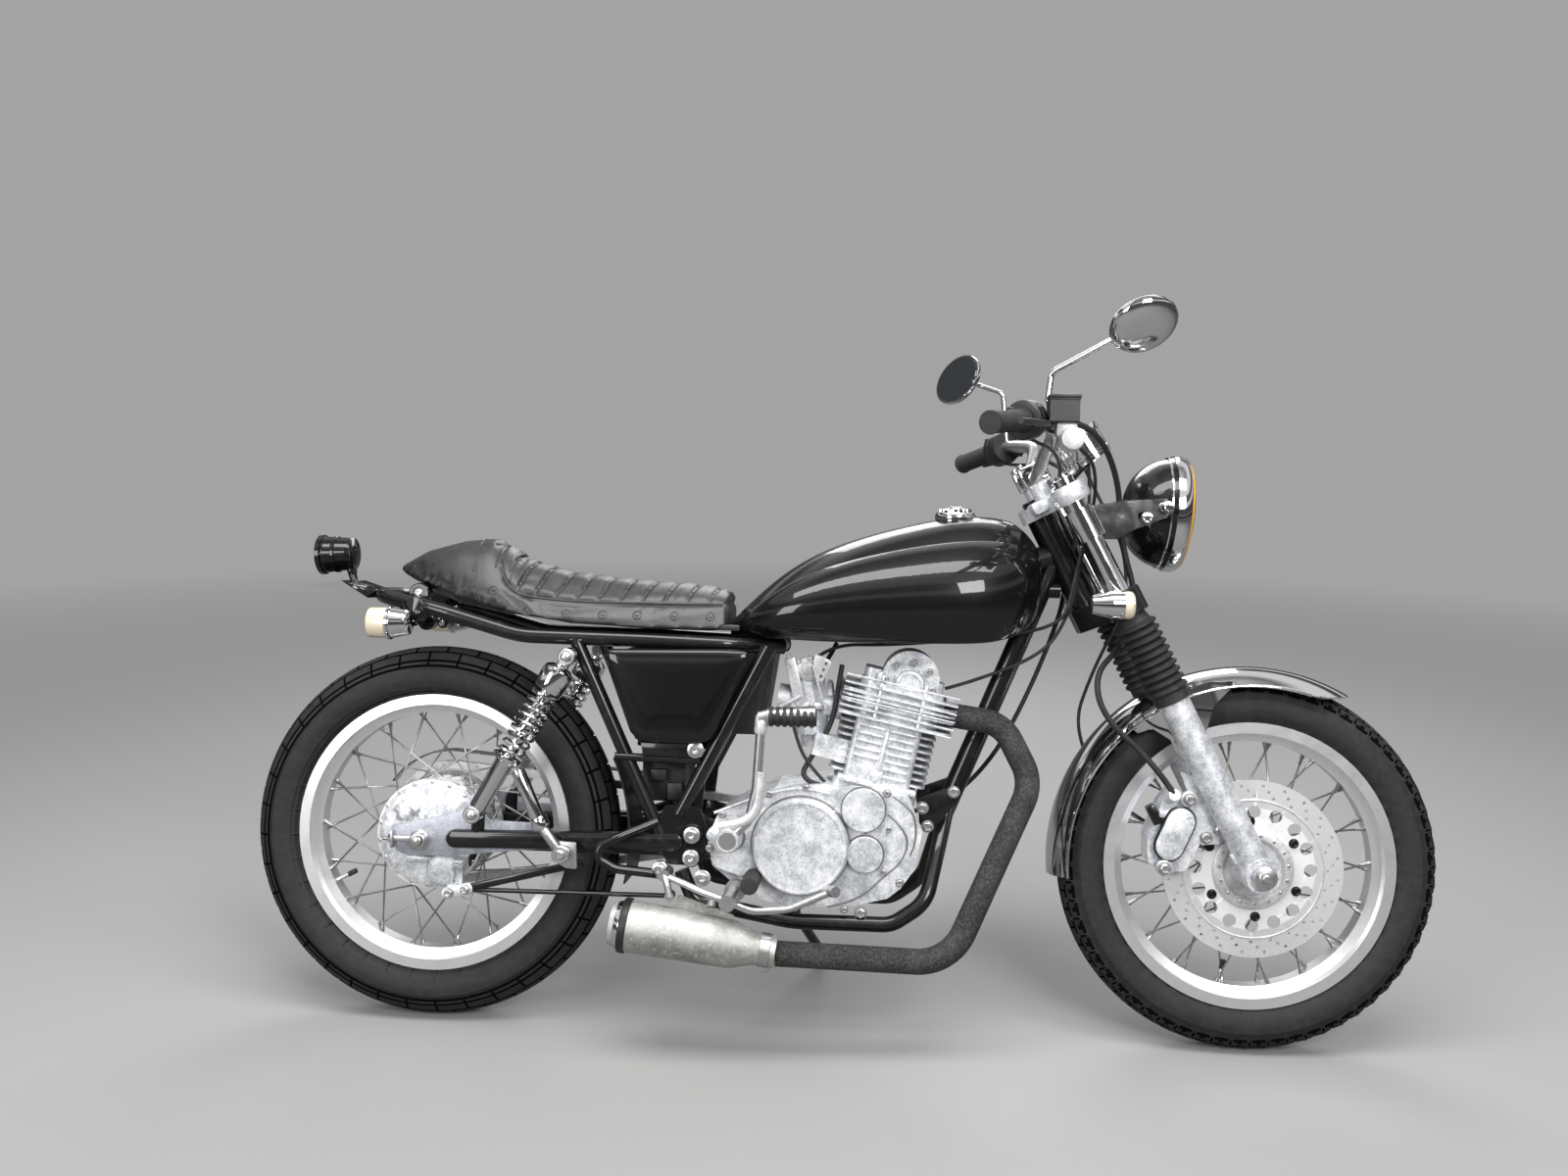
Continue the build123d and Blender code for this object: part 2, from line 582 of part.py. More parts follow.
HEAD_HEIGHT = 66
HEAD_CENTRE_X = 8
HEAD_HALF_X = 98
HEAD_HALF_Y = 92
ARCH_X = 18
ARCH_R = 49
ARCH_BASE = 16
ARCH_HALF_Y = 66
with BuildPart() as cylinder_head:
    with BuildSketch(cylinder_level(BARREL_HEIGHT)) as core:
        with Locations((HEAD_CENTRE_X, 0)):
            RectangleRounded(2 * HEAD_HALF_X - 52, 2 * HEAD_HALF_Y - 18, 24)
    extrude(core.sketch, amount=HEAD_HEIGHT)
    pitch = (HEAD_HEIGHT - 6) / HEAD_FINS
    for fin in range(HEAD_FINS):
        with BuildSketch(cylinder_level(BARREL_HEIGHT + 4 + fin * pitch)) as section:
            with Locations((HEAD_CENTRE_X, 0)):
                RectangleRounded(2 * HEAD_HALF_X, 2 * HEAD_HALF_Y, 20)
        extrude(section.sketch, amount=FIN_THICKNESS)
    # The arched cover over the camshaft, with a round cap in its right side
    camshaft = Plane(origin=cylinder.from_local_coords((ARCH_X, 0, BARREL_HEIGHT + HEAD_HEIGHT)),
                     x_dir=cylinder.x_dir, z_dir=(0, -1, 0))
    with BuildSketch(camshaft.offset(ARCH_HALF_Y)) as arch:
        with Locations((0, ARCH_BASE)):
            Circle(ARCH_R)
        with Locations((0, ARCH_BASE / 2)):
            Rectangle(2 * ARCH_R, ARCH_BASE)
        with Locations((0, -100)):
            Rectangle(400, 200, mode=Mode.SUBTRACT)
    extrude(arch.sketch, amount=-2 * ARCH_HALF_Y)
    with BuildSketch(cylinder_level(BARREL_HEIGHT + HEAD_HEIGHT)) as rocker_foot:
        with Locations((HEAD_CENTRE_X, 0)):
            RectangleRounded(2 * HEAD_HALF_X - 58, 2 * ARCH_HALF_Y - 24, 14)
    extrude(rocker_foot.sketch, amount=20)
    with BuildSketch(camshaft.offset(ARCH_HALF_Y)) as cap:
        with Locations((-4, ARCH_BASE)):
            Circle(23)
    extrude(cap.sketch, amount=5)
    add(frame_cradle.part, mode=Mode.SUBTRACT)
pieces["cylinder_head"] = cylinder_head

with BuildPart() as carburettor:
    rod((716, -18, 566), (640, -18, 574), 22)
    rod((664, -18, 520), (652, -18, 640), 30)
    rod((640, -18, 574), (604, -18, 578), 28)
    rod((668, -18, 500), (664, -18, 524), 22)
    add(cylinder_head.part, mode=Mode.SUBTRACT)
    add(barrel.part, mode=Mode.SUBTRACT)
pieces["carburettor"] = carburettor

with BuildPart() as air_box:
    with BuildSketch(Plane.XY.offset(520)) as section:
        with Locations((480, 0)):
            RectangleRounded(200, 150, 16)
    with BuildSketch(Plane.XY.offset(660)) as top:
        with Locations((470, 0)):
            RectangleRounded(260, 170, 16)
    loft([section.sketch.faces()[0], top.sketch.faces()[0]])
    add(carburettor.part, mode=Mode.SUBTRACT)
    add(frame_posts.part, mode=Mode.SUBTRACT)
    add(frame_seat_loop.part, mode=Mode.SUBTRACT)
pieces["air_box"] = air_box

# Rider's footpegs, brake pedal, gear lever, and the kick lever with its rubber folded forward
with BuildPart() as foot_controls:
    for side in (-1, 1):
        rod((545, side * 119, 262), (545, side * 246, 268), 8)
        rod((545, side * 158, 264), (545, side * 246, 268), 13)
        rod((545, side * 112, 262), (545, side * 122, 262), 18)
    tube([(430, -150, 290), (500, -172, 268), (581, -186, 244), (640, -190, 250), (706, -190, 280)],
         [60, 60, 60], 6)
    rod((700, -176, 280), (716, -204, 284), 9)
    rod((430, -114, 290), (430, -158, 290), 10)
    tube([(545, 146, 318), (640, 160, 300), (690, 165, 300)], [60], 6)
    rod((690, 150, 300), (690, 196, 300), 9)
    rod((545, 100, 318), (545, 152, 318), 9)
    tube([(537, -172, 356), (570, -172, 388), (582, -174, 440), (588, -176, 556)], [20, 60], 8)
    rod((537, -158, 356), (537, -186, 356), 16)
    rod((584, -176, 558), (598, -176, 562), 11)
    rod((598, -176, 561), (676, -176, 566), 14)
    rod((440, -140, 256), (440, -162, 256), 8)
    tube([(440, -158, 256), (436, -156, 275), (430, -152, 292)], [20], 6)
    add(frame_cradle.part, mode=Mode.SUBTRACT)
    add(frame_stays.part, mode=Mode.SUBTRACT)
    add(crankcase.part, mode=Mode.SUBTRACT)
    add(engine_covers.part, mode=Mode.SUBTRACT)
    add(brake_plate.part, mode=Mode.SUBTRACT)
pieces["foot_controls"] = foot_controls

# Exhaust
with BuildPart() as exhaust_pipe:
    header = [
        (880, -34, 562), (990, -46, 548), (1040, -68, 452), (905, -126, 156), (618, -152, 168),
    ]
    tube(header, [62, 74, 84], HEADER_R)
    add(cylinder_head.part, mode=Mode.SUBTRACT)
pieces["exhaust_pipe"] = exhaust_pipe

with BuildPart() as muffler:
    front = Vector(545, MUFFLER_Y, 182)
    rear = Vector(370, MUFFLER_Y, 206)
    axis = (rear - front).normalized()
    rod(tuple(front - axis * 74), tuple(front - axis * 38), HEADER_R + 5)
    rod(tuple(front - axis * 40), tuple(front), HEADER_R + 5, MUFFLER_R - 4)
    rod(tuple(front), tuple(rear), MUFFLER_R - 4, MUFFLER_R)
    rod(tuple(rear), tuple(rear + axis * 26), MUFFLER_R - 3, MUFFLER_R - 8)
    add(exhaust_pipe.part, mode=Mode.SUBTRACT)
    side_plate([(450, 252), (560, 216), (500, 205), (440, 225)], MUFFLER_Y + 34, MUFFLER_Y + 40, 5)
    rod((505, -112, 238), (505, MUFFLER_Y + 36, 230), 8)
    add(frame_cradle.part, mode=Mode.SUBTRACT)
pieces["muffler"] = muffler

# Fuel tank, lofted through a few cross sections: part of its length, bottom Z, widest Z,
# shoulder Z, top Z, bottom half width, widest half width, shoulder half width
TANK_TAIL = 522
TANK_LENGTH = WHEELBASE - 360 - TANK_TAIL
TANK_SECTIONS = [
    (0, 690, 700, 708, 718, 40, 60, 50),
    (0.11, 688, 724, 752, 772, 84, 112, 84),
    (0.337, 685, 752, 812, 847, 108, 138, 92),
    (0.602, 686, 772, 846, 889, 116, 144, 88),
    (0.811, 688, 778, 858, 903, 108, 138, 80),
    (0.936, 706, 784, 850, 888, 78, 106, 62),
    (1, 758, 790, 824, 846, 30, 54, 36),
]
with BuildPart() as fuel_tank:
    faces = []
    for along, bottom, widest, shoulder, top, bottom_half, half, shoulder_half in TANK_SECTIONS:
        with BuildSketch(Plane.YZ.offset(TANK_TAIL + along * TANK_LENGTH)) as section:
            with BuildLine():
                Line((0, bottom), (bottom_half, bottom))
                ThreePointArc((bottom_half, bottom), (half, widest), (shoulder_half, shoulder))
                ThreePointArc(
                    (shoulder_half, shoulder),
                    (0.55 * shoulder_half, shoulder + 0.72 * (top - shoulder)),
                    (0, top),
                )
                ThreePointArc(
                    (0, top),
                    (-0.55 * shoulder_half, shoulder + 0.72 * (top - shoulder)),
                    (-shoulder_half, shoulder),
                )
                ThreePointArc((-shoulder_half, shoulder), (-half, widest), (-bottom_half, bottom))
                Line((-bottom_half, bottom), (0, bottom))
            make_face()
        faces.append(section.sketch.faces()[0])
    loft(faces)
    with BuildSketch(Plane.XZ.offset(34)) as tunnel:
        with BuildLine():
            Polyline((500, 660), (500, 718), (WHEELBASE - 400, 858), (WHEELBASE - 310, 880),
                     (WHEELBASE - 310, 660), close=True)
        make_face()
    extrude(tunnel.sketch, amount=-68, mode=Mode.SUBTRACT)
    # The nose is hollowed where the yokes swing past it
    rod(HEAD_FOOT, steered(0, 0, UPPER_YOKE_BASE + 40), HEADSTOCK_R + 24, mode=Mode.SUBTRACT)
pieces["fuel_tank"] = fuel_tank

CAP = (TANK_TAIL + 0.725 * TANK_LENGTH, 0, 893)
with BuildPart() as filler_cap:
    rod(CAP, (CAP[0], 0, CAP[2] + 16), 33)
    rod((CAP[0], 0, CAP[2] + 14), (CAP[0], 0, CAP[2] + 22), 26)
    add(fuel_tank.part, mode=Mode.SUBTRACT)
pieces["filler_cap"] = filler_cap

# Seat, lofted the same way: X, bottom Z, side Z, top Z, bottom half width, top half width
SEAT_SECTIONS = [
    (-84, 793, 797, 801, 14, 12),
    (-30, 770, 800, 826, 60, 40),
    (40, 742, 800, 842, 92, 66),
    (96, 728, 796, 845, 106, 78),
    (150, 717, 770, 806, 114, 96),
    (230, 707, 752, 783, 118, 104),
    (380, 697, 744, 770, 118, 102),
    (500, 696, 742, 766, 104, 86),
    (516, 704, 742, 760, 98, 80),
]
with BuildPart() as seat:
    faces = []
    for x, bottom, side_z, top, bottom_half, top_half in SEAT_SECTIONS:
        with BuildSketch(Plane.YZ.offset(x)) as section:
            with BuildLine():
                Polyline((-top_half, side_z), (-bottom_half, bottom), (bottom_half, bottom),
                         (top_half, side_z))
                ThreePointArc((top_half, side_z), (0, top), (-top_half, side_z))
            make_face()
        faces.append(section.sketch.faces()[0])
    loft(faces, ruled=True)
    add(frame_seat_loop.part, mode=Mode.SUBTRACT)
    add(fuel_tank.part, mode=Mode.SUBTRACT)
pieces["seat"] = seat

COVER_Y = 122
with BuildPart() as side_covers:
    for side in (-1, 1):
        side_plate([(311, 662), (567, 664), (500, 512), (366, 517)],
                   side * (COVER_Y + 8), side * COVER_Y, corner=18)
        for x, z in ((330, 650), (545, 652), (440, 530)):
            rod((x, side * (COVER_Y + 1), z), (x, side * 84, z), 6)
    add(frame_posts.part, mode=Mode.SUBTRACT)
    add(frame_stays.part, mode=Mode.SUBTRACT)
    add(air_box.part, mode=Mode.SUBTRACT)
pieces["side_covers"] = side_covers

# Tail lamp on its stalk, plate bracket, and the rear indicators
with BuildPart() as tail_lights:
    rod((-226, 0, 813), (-168, 0, 816), 33, 28)
    tube([(-176, 0, 790), (-166, 0, 762), (-104, 0, 746)], [16], 7)
    side_plate([(-226, 758), (-170, 768), (-120, 752), (-120, 738)], -60, 60)
    for side in (-1, 1):
        y = side * 168
        rod((-72, y, 699), (-40, y, 699), 25)
        rod((-40, y, 699), (-6, y, 700), 27, 20)
        rod((-20, side * 92, 712), (-20, y, 702), 9)
        rod((-20, side * 78, 720), (-20, side * 112, 716), 24)
    add(frame_seat_loop.part, mode=Mode.SUBTRACT)
pieces["tail_lights"] = tail_lights

# Steered assembly
YOKE_OUTLINE = [
    (FORK_OFFSET - 26, -FORK_HALF_SPACING), (FORK_OFFSET + 26, -FORK_HALF_SPACING),
    (FORK_OFFSET + 4, 0), (FORK_OFFSET + 26, FORK_HALF_SPACING),
    (FORK_OFFSET - 26, FORK_HALF_SPACING), (-30, 28), (-30, -28),
]


def yoke(base, height, lug_r):
    """One fork clamp: a waisted plate with a lug round each tube and round the stem."""
    with BuildSketch(steered_plane(base)) as section:
        with BuildLine():
            Polyline(*YOKE_OUTLINE, close=True)
        make_face()
        for y in (-FORK_HALF_SPACING, FORK_HALF_SPACING):
            with Locations((FORK_OFFSET, y)):
                Circle(lug_r)
        with Locations((0, 0)):
            Circle(32)
        for y in (-FORK_HALF_SPACING, FORK_HALF_SPACING):
            with Locations((FORK_OFFSET, y)):
                Circle(FORK_TUBE_R, mode=Mode.SUBTRACT)
    extrude(section.sketch, amount=height)


with BuildPart() as lower_yoke:
    yoke(LOWER_YOKE_BASE, YOKE_THICKNESS, FORK_TUBE_R + 15)
    rod(steered(0, 0, LOWER_YOKE_BASE), steered(0, 0, UPPER_YOKE_BASE + 34), STEM_R)
pieces["lower_yoke"] = lower_yoke

with BuildPart() as upper_yoke:
    yoke(UPPER_YOKE_BASE, UPPER_YOKE_THICKNESS, FORK_TUBE_R + 11)
    for y in (-45, 45):
        rod(steered(14, y, UPPER_YOKE_BASE + 10), steered(14, y, UPPER_YOKE_BASE + 56), 16)
    add(lower_yoke.part, mode=Mode.SUBTRACT)
pieces["upper_yoke"] = upper_yoke

# Lamp brackets: a clamp on each tube and a plate to the lamp's ear
BRACKET = [(288, 601), (244, 609), (164, 616), (152, 603), (163, 584), (223, 560), (246, 546),
           (262, 546)]
with BuildPart() as lamp_brackets:
    for side in (-1, 1):
        y = side * FORK_HALF_SPACING
        fore_plate(BRACKET, y + side * 8, y + side * 3)
        rod(steered(FORK_OFFSET, y, 616), steered(FORK_OFFSET, y, 670), FORK_TUBE_R + 6)
        rod(steered(FORK_OFFSET, y, 600), steered(FORK_OFFSET, y, 700), FORK_TUBE_R,
            mode=Mode.SUBTRACT)
        # The right plate has a spare hole beside the lamp's bolt
        x, _, z = fore(205, 0, 586)
        rod((x, y, z), (x, y + side * 12, z), 6, mode=Mode.SUBTRACT)
pieces["lamp_brackets"] = lamp_brackets

with BuildPart() as fork_tubes:
    for side in (-1, 1):
        y = side * FORK_HALF_SPACING
        rod(steered(FORK_OFFSET, y, GAITER_TOP - 6), steered(FORK_OFFSET, y, FORK_TOP), FORK_TUBE_R)
pieces["fork_tubes"] = fork_tubes

GAITER_BASE = SLIDER_TOP - 16
BELLOWS = 10
with BuildPart() as fork_gaiters:
    for side in (-1, 1):
        y = side * FORK_HALF_SPACING
        pitch = (GAITER_TOP - 14 - SLIDER_TOP) / BELLOWS
        outline = [(FORK_TUBE_R, GAITER_TOP), (FORK_TUBE_R, SLIDER_TOP), (SLIDER_R, SLIDER_TOP),
                   (SLIDER_R, GAITER_BASE), (SLIDER_R + 4, GAITER_BASE), (SLIDER_R + 4, SLIDER_TOP)]
        for bellow in range(BELLOWS):
            up = SLIDER_TOP + bellow * pitch
            outline += [(35, up + 0.35 * pitch), (35, up + 0.65 * pitch), (28, up + pitch)]
        outline += [(24, GAITER_TOP)]
        origin = steered(FORK_OFFSET, y, 0)
        with BuildSketch(Plane(origin=origin, x_dir=(0, 1, 0), z_dir=steering.x_dir)) as section:
            with BuildLine():
                Polyline(*[(r, up) for r, up in outline], close=True)
            make_face()
        revolve(section.sketch, axis=Axis(origin, steering.z_dir))
pieces["fork_gaiters"] = fork_gaiters

# Sliders with their axle lugs, the calliper's bracket, the speedometer drive and the axle
CALLIPER_BRACKET = [(128, 162), (92, 152), (58, 80), (62, 44), (84, 42), (100, 90)]
with BuildPart() as fork_sliders:
    for side in (-1, 1):
        y = side * FORK_HALF_SPACING
        rod(steered(FORK_OFFSET, y, -22), steered(FORK_OFFSET, y, SLIDER_TOP), SLIDER_R)
        rod(fore(0, side * 74, 0), fore(0, side * 128, 0), 22)
    fore_plate(CALLIPER_BRACKET, -86, -76)
    rod(fore(0, 57, 0), fore(0, 76, 0), 30)
    rod(fore(0, -130, 0), fore(0, 130, 0), FRONT_AXLE_R)
    rod(fore(0, 128, 0), fore(0, 138, 0), 15)
    rod(fore(0, -140, 0), fore(0, 140, 0), FRONT_AXLE_BORE_R,
        mode=Mode.SUBTRACT)
pieces["fork_sliders"] = fork_sliders

GUARD_CROWN_R = FRONT_TYRE_R + 18
GUARD_EDGE_R = FRONT_TYRE_R - 12
GUARD_HALF_WIDTH = 62
GUARD_WALL = 2.5
GUARD_TIP = 60
GUARD_TAIL = 185
GUARD_STAY = [(210, 234), (160, 278), (85, 310), (38, 318), (44, 300), (70, 272), (82, 227),
              (92, 170), (120, 172), (140, 212), (170, 230), (195, 222)]
with BuildPart() as front_mudguard:
    tip = radians(GUARD_TIP)
    tip_plane = Plane(origin=FRONT_AXLE, x_dir=(0, 1, 0), z_dir=(sin(tip), 0, -cos(tip)))
    with BuildSketch(tip_plane) as section:
        with BuildLine():
            ThreePointArc((-GUARD_HALF_WIDTH, GUARD_EDGE_R), (0, GUARD_CROWN_R),
                          (GUARD_HALF_WIDTH, GUARD_EDGE_R))
            Line((GUARD_HALF_WIDTH, GUARD_EDGE_R), (GUARD_HALF_WIDTH - GUARD_WALL, GUARD_EDGE_R))
            ThreePointArc(
                (GUARD_HALF_WIDTH - GUARD_WALL, GUARD_EDGE_R), (0, GUARD_CROWN_R - GUARD_WALL),
                (-GUARD_HALF_WIDTH + GUARD_WALL, GUARD_EDGE_R))
            Line((-GUARD_HALF_WIDTH + GUARD_WALL, GUARD_EDGE_R), (-GUARD_HALF_WIDTH, GUARD_EDGE_R))
        make_face()
    revolve(section.sketch, axis=Axis(FRONT_AXLE, (0, -1, 0)),
            revolution_arc=GUARD_TAIL - GUARD_TIP)
    for side in (-1, 1):
        fore_plate(GUARD_STAY, side * 63, side * 58)
        rod(fore(103, side * 60, 184), fore(103, side * 82, 184), 8)
    # The inside of the guard stays clear of its stays' plates
    with BuildSketch(tip_plane) as inside:
        with BuildLine():
            ThreePointArc(
                (GUARD_HALF_WIDTH - GUARD_WALL, GUARD_EDGE_R), (0, GUARD_CROWN_R - GUARD_WALL),
                (-GUARD_HALF_WIDTH + GUARD_WALL, GUARD_EDGE_R))
            Line((-GUARD_HALF_WIDTH + GUARD_WALL, GUARD_EDGE_R),
                 (GUARD_HALF_WIDTH - GUARD_WALL, GUARD_EDGE_R))
        make_face()
    revolve(inside.sketch, axis=Axis(FRONT_AXLE, (0, -1, 0)),
            revolution_arc=GUARD_TAIL - GUARD_TIP, mode=Mode.SUBTRACT)
    add(fork_sliders.part, mode=Mode.SUBTRACT)
pieces["front_mudguard"] = front_mudguard

# Brake calliper: two pistons, straddling the disc
CALLIPER = [(121, 122), (87, 99), (76, 81), (93, 44), (116, -3), (156, -6), (178, 10), (180, 53),
            (157, 110), (143, 130)]
CALLIPER_PISTONS = [(128, 81), (146, 40)]
with BuildPart() as brake_caliper:
    fore_plate(CALLIPER, DISC_Y - 28, DISC_Y + 30, 8)
    for behind, above in CALLIPER_PISTONS:
        rod(fore(behind, DISC_Y - 28, above), fore(behind, DISC_Y - 40, above), 21)
    slot = DISC_THICKNESS / 2 + 5.5
    with BuildSketch(Plane.XZ.offset(-(DISC_Y + slot))) as section:
        with Locations((WHEELBASE, FRONT_TYRE_R)):
            Circle(DISC_R + 6)
    extrude(section.sketch, amount=2 * slot, mode=Mode.SUBTRACT)
    add(fork_sliders.part, mode=Mode.SUBTRACT)
pieces["brake_caliper"] = brake_caliper

# Bar, grips and controls
BAR_CENTRE = steered(14, 0, UPPER_YOKE_BASE + 66)
BAR_BORE_R = 8
BAR_BORE_DEPTH = 50


def bar_point(ahead, y, above):
    """A point of the bar, from the middle of its clamps."""
    return (BAR_CENTRE.X + ahead, y, BAR_CENTRE.Z + above)


bar_end = Vector(bar_point(-99, BAR_HALF_WIDTH, 58))
bar_bend = Vector(bar_point(-23, 205, 80))
grip_run = (bar_bend - bar_end).normalized()
with BuildPart() as handlebar:
    half_bar = [tuple(bar_end), tuple(bar_bend), bar_point(23, 140, 72), bar_point(0, 74, 0)]
    other_half = [(x, -y, z) for x, y, z in reversed(half_bar)]
    tube(half_bar + other_half, [60, 40, 30, 30, 40, 60], BAR_R)
    for y in (-45, 45):
        rod(bar_point(0, y - 12, 0), bar_point(0, y + 12, 0), 20)
    for side in (-1, 1):
        start = bar_end - grip_run
        end = bar_end + grip_run * BAR_BORE_DEPTH
        rod((start.X, side * start.Y, start.Z), (end.X, side * end.Y, end.Z), BAR_BORE_R,
            mode=Mode.SUBTRACT)
    add(upper_yoke.part, mode=Mode.SUBTRACT)
pieces["handlebar"] = handlebar

with BuildPart() as grips:
    for side in (-1, 1):
        start = bar_end
        end = bar_end + grip_run * 116
        rod((start.X, side * start.Y, start.Z), (end.X, side * end.Y, end.Z), GRIP_R)
        rod((start.X, side * start.Y, start.Z), (end.X, side * end.Y, end.Z), BAR_R,
            mode=Mode.SUBTRACT)
    add(handlebar.part, mode=Mode.SUBTRACT)
pieces["grips"] = grips

# Switch clusters, lever perches and levers, and the brake's master cylinder on the right
with BuildPart() as bar_controls:
    for side in (-1, 1):
        start = bar_end + grip_run * 117
        end = bar_end + grip_run * 148
        rod((start.X, side * start.Y, start.Z), (end.X, side * end.Y, end.Z), 23)
        near = end + Vector(34, 0, -6)
        rod((end.X, side * end.Y, end.Z), (near.X, side * near.Y, near.Z), 11)
        tube([(near.X, side * (near.Y - 6), near.Z), (near.X - 16, side * (near.Y + 70), near.Z - 8),
              (near.X - 62, side * (near.Y + 150), near.Z - 14)], [60], 5)
    with Locations(bar_point(23, -226, 92)):
        Box(46, 52, 38)
    add(handlebar.part, mode=Mode.SUBTRACT)
    add(grips.part, mode=Mode.SUBTRACT)
pieces["bar_controls"] = bar_controls

# Mirrors: bent arms and dished heads. Each head has its middle and its glass's normal
MIRROR_R = 52
RIGHT_MIRROR = (bar_point(134, -285, 218), Vector(-0.21, 0.62, 0.75).normalized())
LEFT_MIRROR = (bar_point(-115, 284, 217), Vector(-0.68, -0.63, 0.37).normalized())
with BuildPart() as mirrors:
    tube([bar_point(0, -216, 108), bar_point(5, -216, 154), bar_point(87, -262, 196),
          bar_point(122, -281, 208)], [14, 60], 4.5)
    tube([bar_point(-25, 212, 84), bar_point(-33, 222, 182), bar_point(-79, 260, 204),
          bar_point(-102, 276, 211)], [14, 30], 4.5)
    for middle, glass in (RIGHT_MIRROR, LEFT_MIRROR):
        middle = Vector(*middle)
        rod(tuple(middle), tuple(middle + glass * 4), MIRROR_R)
        rod(tuple(middle), tuple(middle - glass * 13), MIRROR_R, 30)
    add(bar_controls.part, mode=Mode.SUBTRACT)
    add(handlebar.part, mode=Mode.SUBTRACT)
pieces["mirrors"] = mirrors

# Head lamp: a round shell with its rim and domed glass, hung between two plate brackets
LAMP = Vector(*fore(128, 0, 595))
LAMP_R = 98
LAMP_TILT = radians(4)
lamp_axis = Vector(cos(LAMP_TILT), 0, -sin(LAMP_TILT))
lamp_plane = Plane(origin=LAMP, x_dir=(0, 1, 0), z_dir=Vector(0, 1, 0).cross(lamp_axis))
with BuildPart() as headlamp:
    with BuildSketch(lamp_plane) as section:
        with BuildLine():
            ThreePointArc((0, 24), (50, 19), (LAMP_R - 6, 6))
            Line((LAMP_R - 6, 6), (LAMP_R, 0))
            Line((LAMP_R, 0), (LAMP_R, -14))
            Line((LAMP_R, -14), (LAMP_R - 4, -24))
            ThreePointArc((LAMP_R - 4, -24), (72, -66), (30, -88))
            Line((30, -88), (0, -88))
            Line((0, -88), (0, 24))
        make_face()
    revolve(section.sketch, axis=Axis(LAMP, lamp_axis))
    for side in (-1, 1):
        rod(fore(165, side * 60, 599), fore(165, side * 118, 599), 9)
    add(lamp_brackets.part, mode=Mode.SUBTRACT)
pieces["headlamp"] = headlamp

with BuildPart() as gauges:
    for y in (-46, 46):
        rod(fore(278, y, 682), fore(308, y, 728), 36)
    rod(fore(281, -46, 686), fore(281, 46, 686), 9)
    rod(fore(281, 0, 686), tuple(steered(20, 0, UPPER_YOKE_BASE + 20)), 9)
    add(handlebar.part, mode=Mode.SUBTRACT)
    add(upper_yoke.part, mode=Mode.SUBTRACT)
    add(lower_yoke.part, mode=Mode.SUBTRACT)
pieces["gauges"] = gauges

with BuildPart() as front_indicators:
    for side in (-1, 1):
        y = side * 168
        rod(fore(260, y, 438), fore(228, y, 438), 22)
        rod(fore(292, y, 438), fore(260, y, 438), 15, 22)
        rod(fore(264, side * 120, 440), fore(264, y, 438), 8)
    add(lower_yoke.part, mode=Mode.SUBTRACT)
pieces["front_indicators"] = front_indicators

# Brake hose and speedometer cable, held by the steering all the way
HOSE_R = 5
CABLE_R = 3
BRAKE_HOSE = [
    bar_point(38, -210, 76), bar_point(80, -190, 72), fore(236, -66, 650), fore(228, -40, 552),
    fore(193, -36, 438), fore(226, -40, 362), fore(276, -106, 322), fore(262, -112, 252),
    fore(176, -106, 178), fore(140, -100, 126),
]
BRAKE_HOSE_BENDS = [30, 60, 80, 40, 40, 30, 50, 40]
SPEEDOMETER_CABLE = [
    fore(279, 46, 680), fore(240, 44, 602), fore(204, 40, 532), fore(200, 44, 432),
    fore(250, 78, 322), fore(286, 90, 202), fore(180, 92, 42), fore(28, 67, 4),
]
SPEEDOMETER_BENDS = [60, 60, 60, 80, 90, 80]
with BuildPart() as brake_hose:
    tube(BRAKE_HOSE, BRAKE_HOSE_BENDS, HOSE_R)
    for neighbour in (bar_controls, brake_caliper, mirrors, handlebar):
        add(neighbour.part, mode=Mode.SUBTRACT)
pieces["brake_hose"] = brake_hose

with BuildPart() as speedometer_cable:
    tube(SPEEDOMETER_CABLE, SPEEDOMETER_BENDS, CABLE_R)
    for neighbour in (gauges, fork_sliders):
        add(neighbour.part, mode=Mode.SUBTRACT)
pieces["speedometer_cable"] = speedometer_cable

# Control cables and the wiring, which bend where the steering turns
THROTTLE_CABLE = [
    bar_point(2, -196, 66), bar_point(75, -160, 42), fore(270, -62, 632), fore(290, -50, 542),
    fore(307, -48, 462), fore(318, -46, 408), fore(390, -28, 382), (800, -27, 676),
    (690, -27, 676), (657, -18, 640),
]
THROTTLE_BENDS = [40, 50, 60, 60, 30, 60, 60, 20]
# Between the headstock and the engine, the cables' points share out the distance there is
METER_DRIVE_X = 892
METER_HEAD_X = WHEELBASE - 314
METER_CABLE = [
    fore(284, -38, 682), fore(276, -38, 612), fore(298, -38, 472), fore(314, -38, 412),
    (between(METER_HEAD_X, METER_DRIVE_X, 0.186), -40, 668),
    (between(METER_HEAD_X, METER_DRIVE_X, 0.765), -34, 618), (METER_DRIVE_X, -30, 604),
]
METER_BENDS = [60, 60, 60, 60, 60]
CLUTCH_ARM_X = 890
CLUTCH_HEAD_X = WHEELBASE - 316
CLUTCH_CABLE = [
    bar_point(14, 190, 66), bar_point(75, 150, 40), fore(272, 62, 630), fore(292, 50, 542),
    fore(308, 48, 462), fore(316, 46, 412), (between(CLUTCH_HEAD_X, CLUTCH_ARM_X, 0.24), 44, 600),
    (between(CLUTCH_HEAD_X, CLUTCH_ARM_X, 0.56), 46, 470), (CLUTCH_ARM_X, 74, 380), (846, 92, 372),
]
CLUTCH_BENDS = [40, 50, 60, 60, 60, 80, 80, 40]
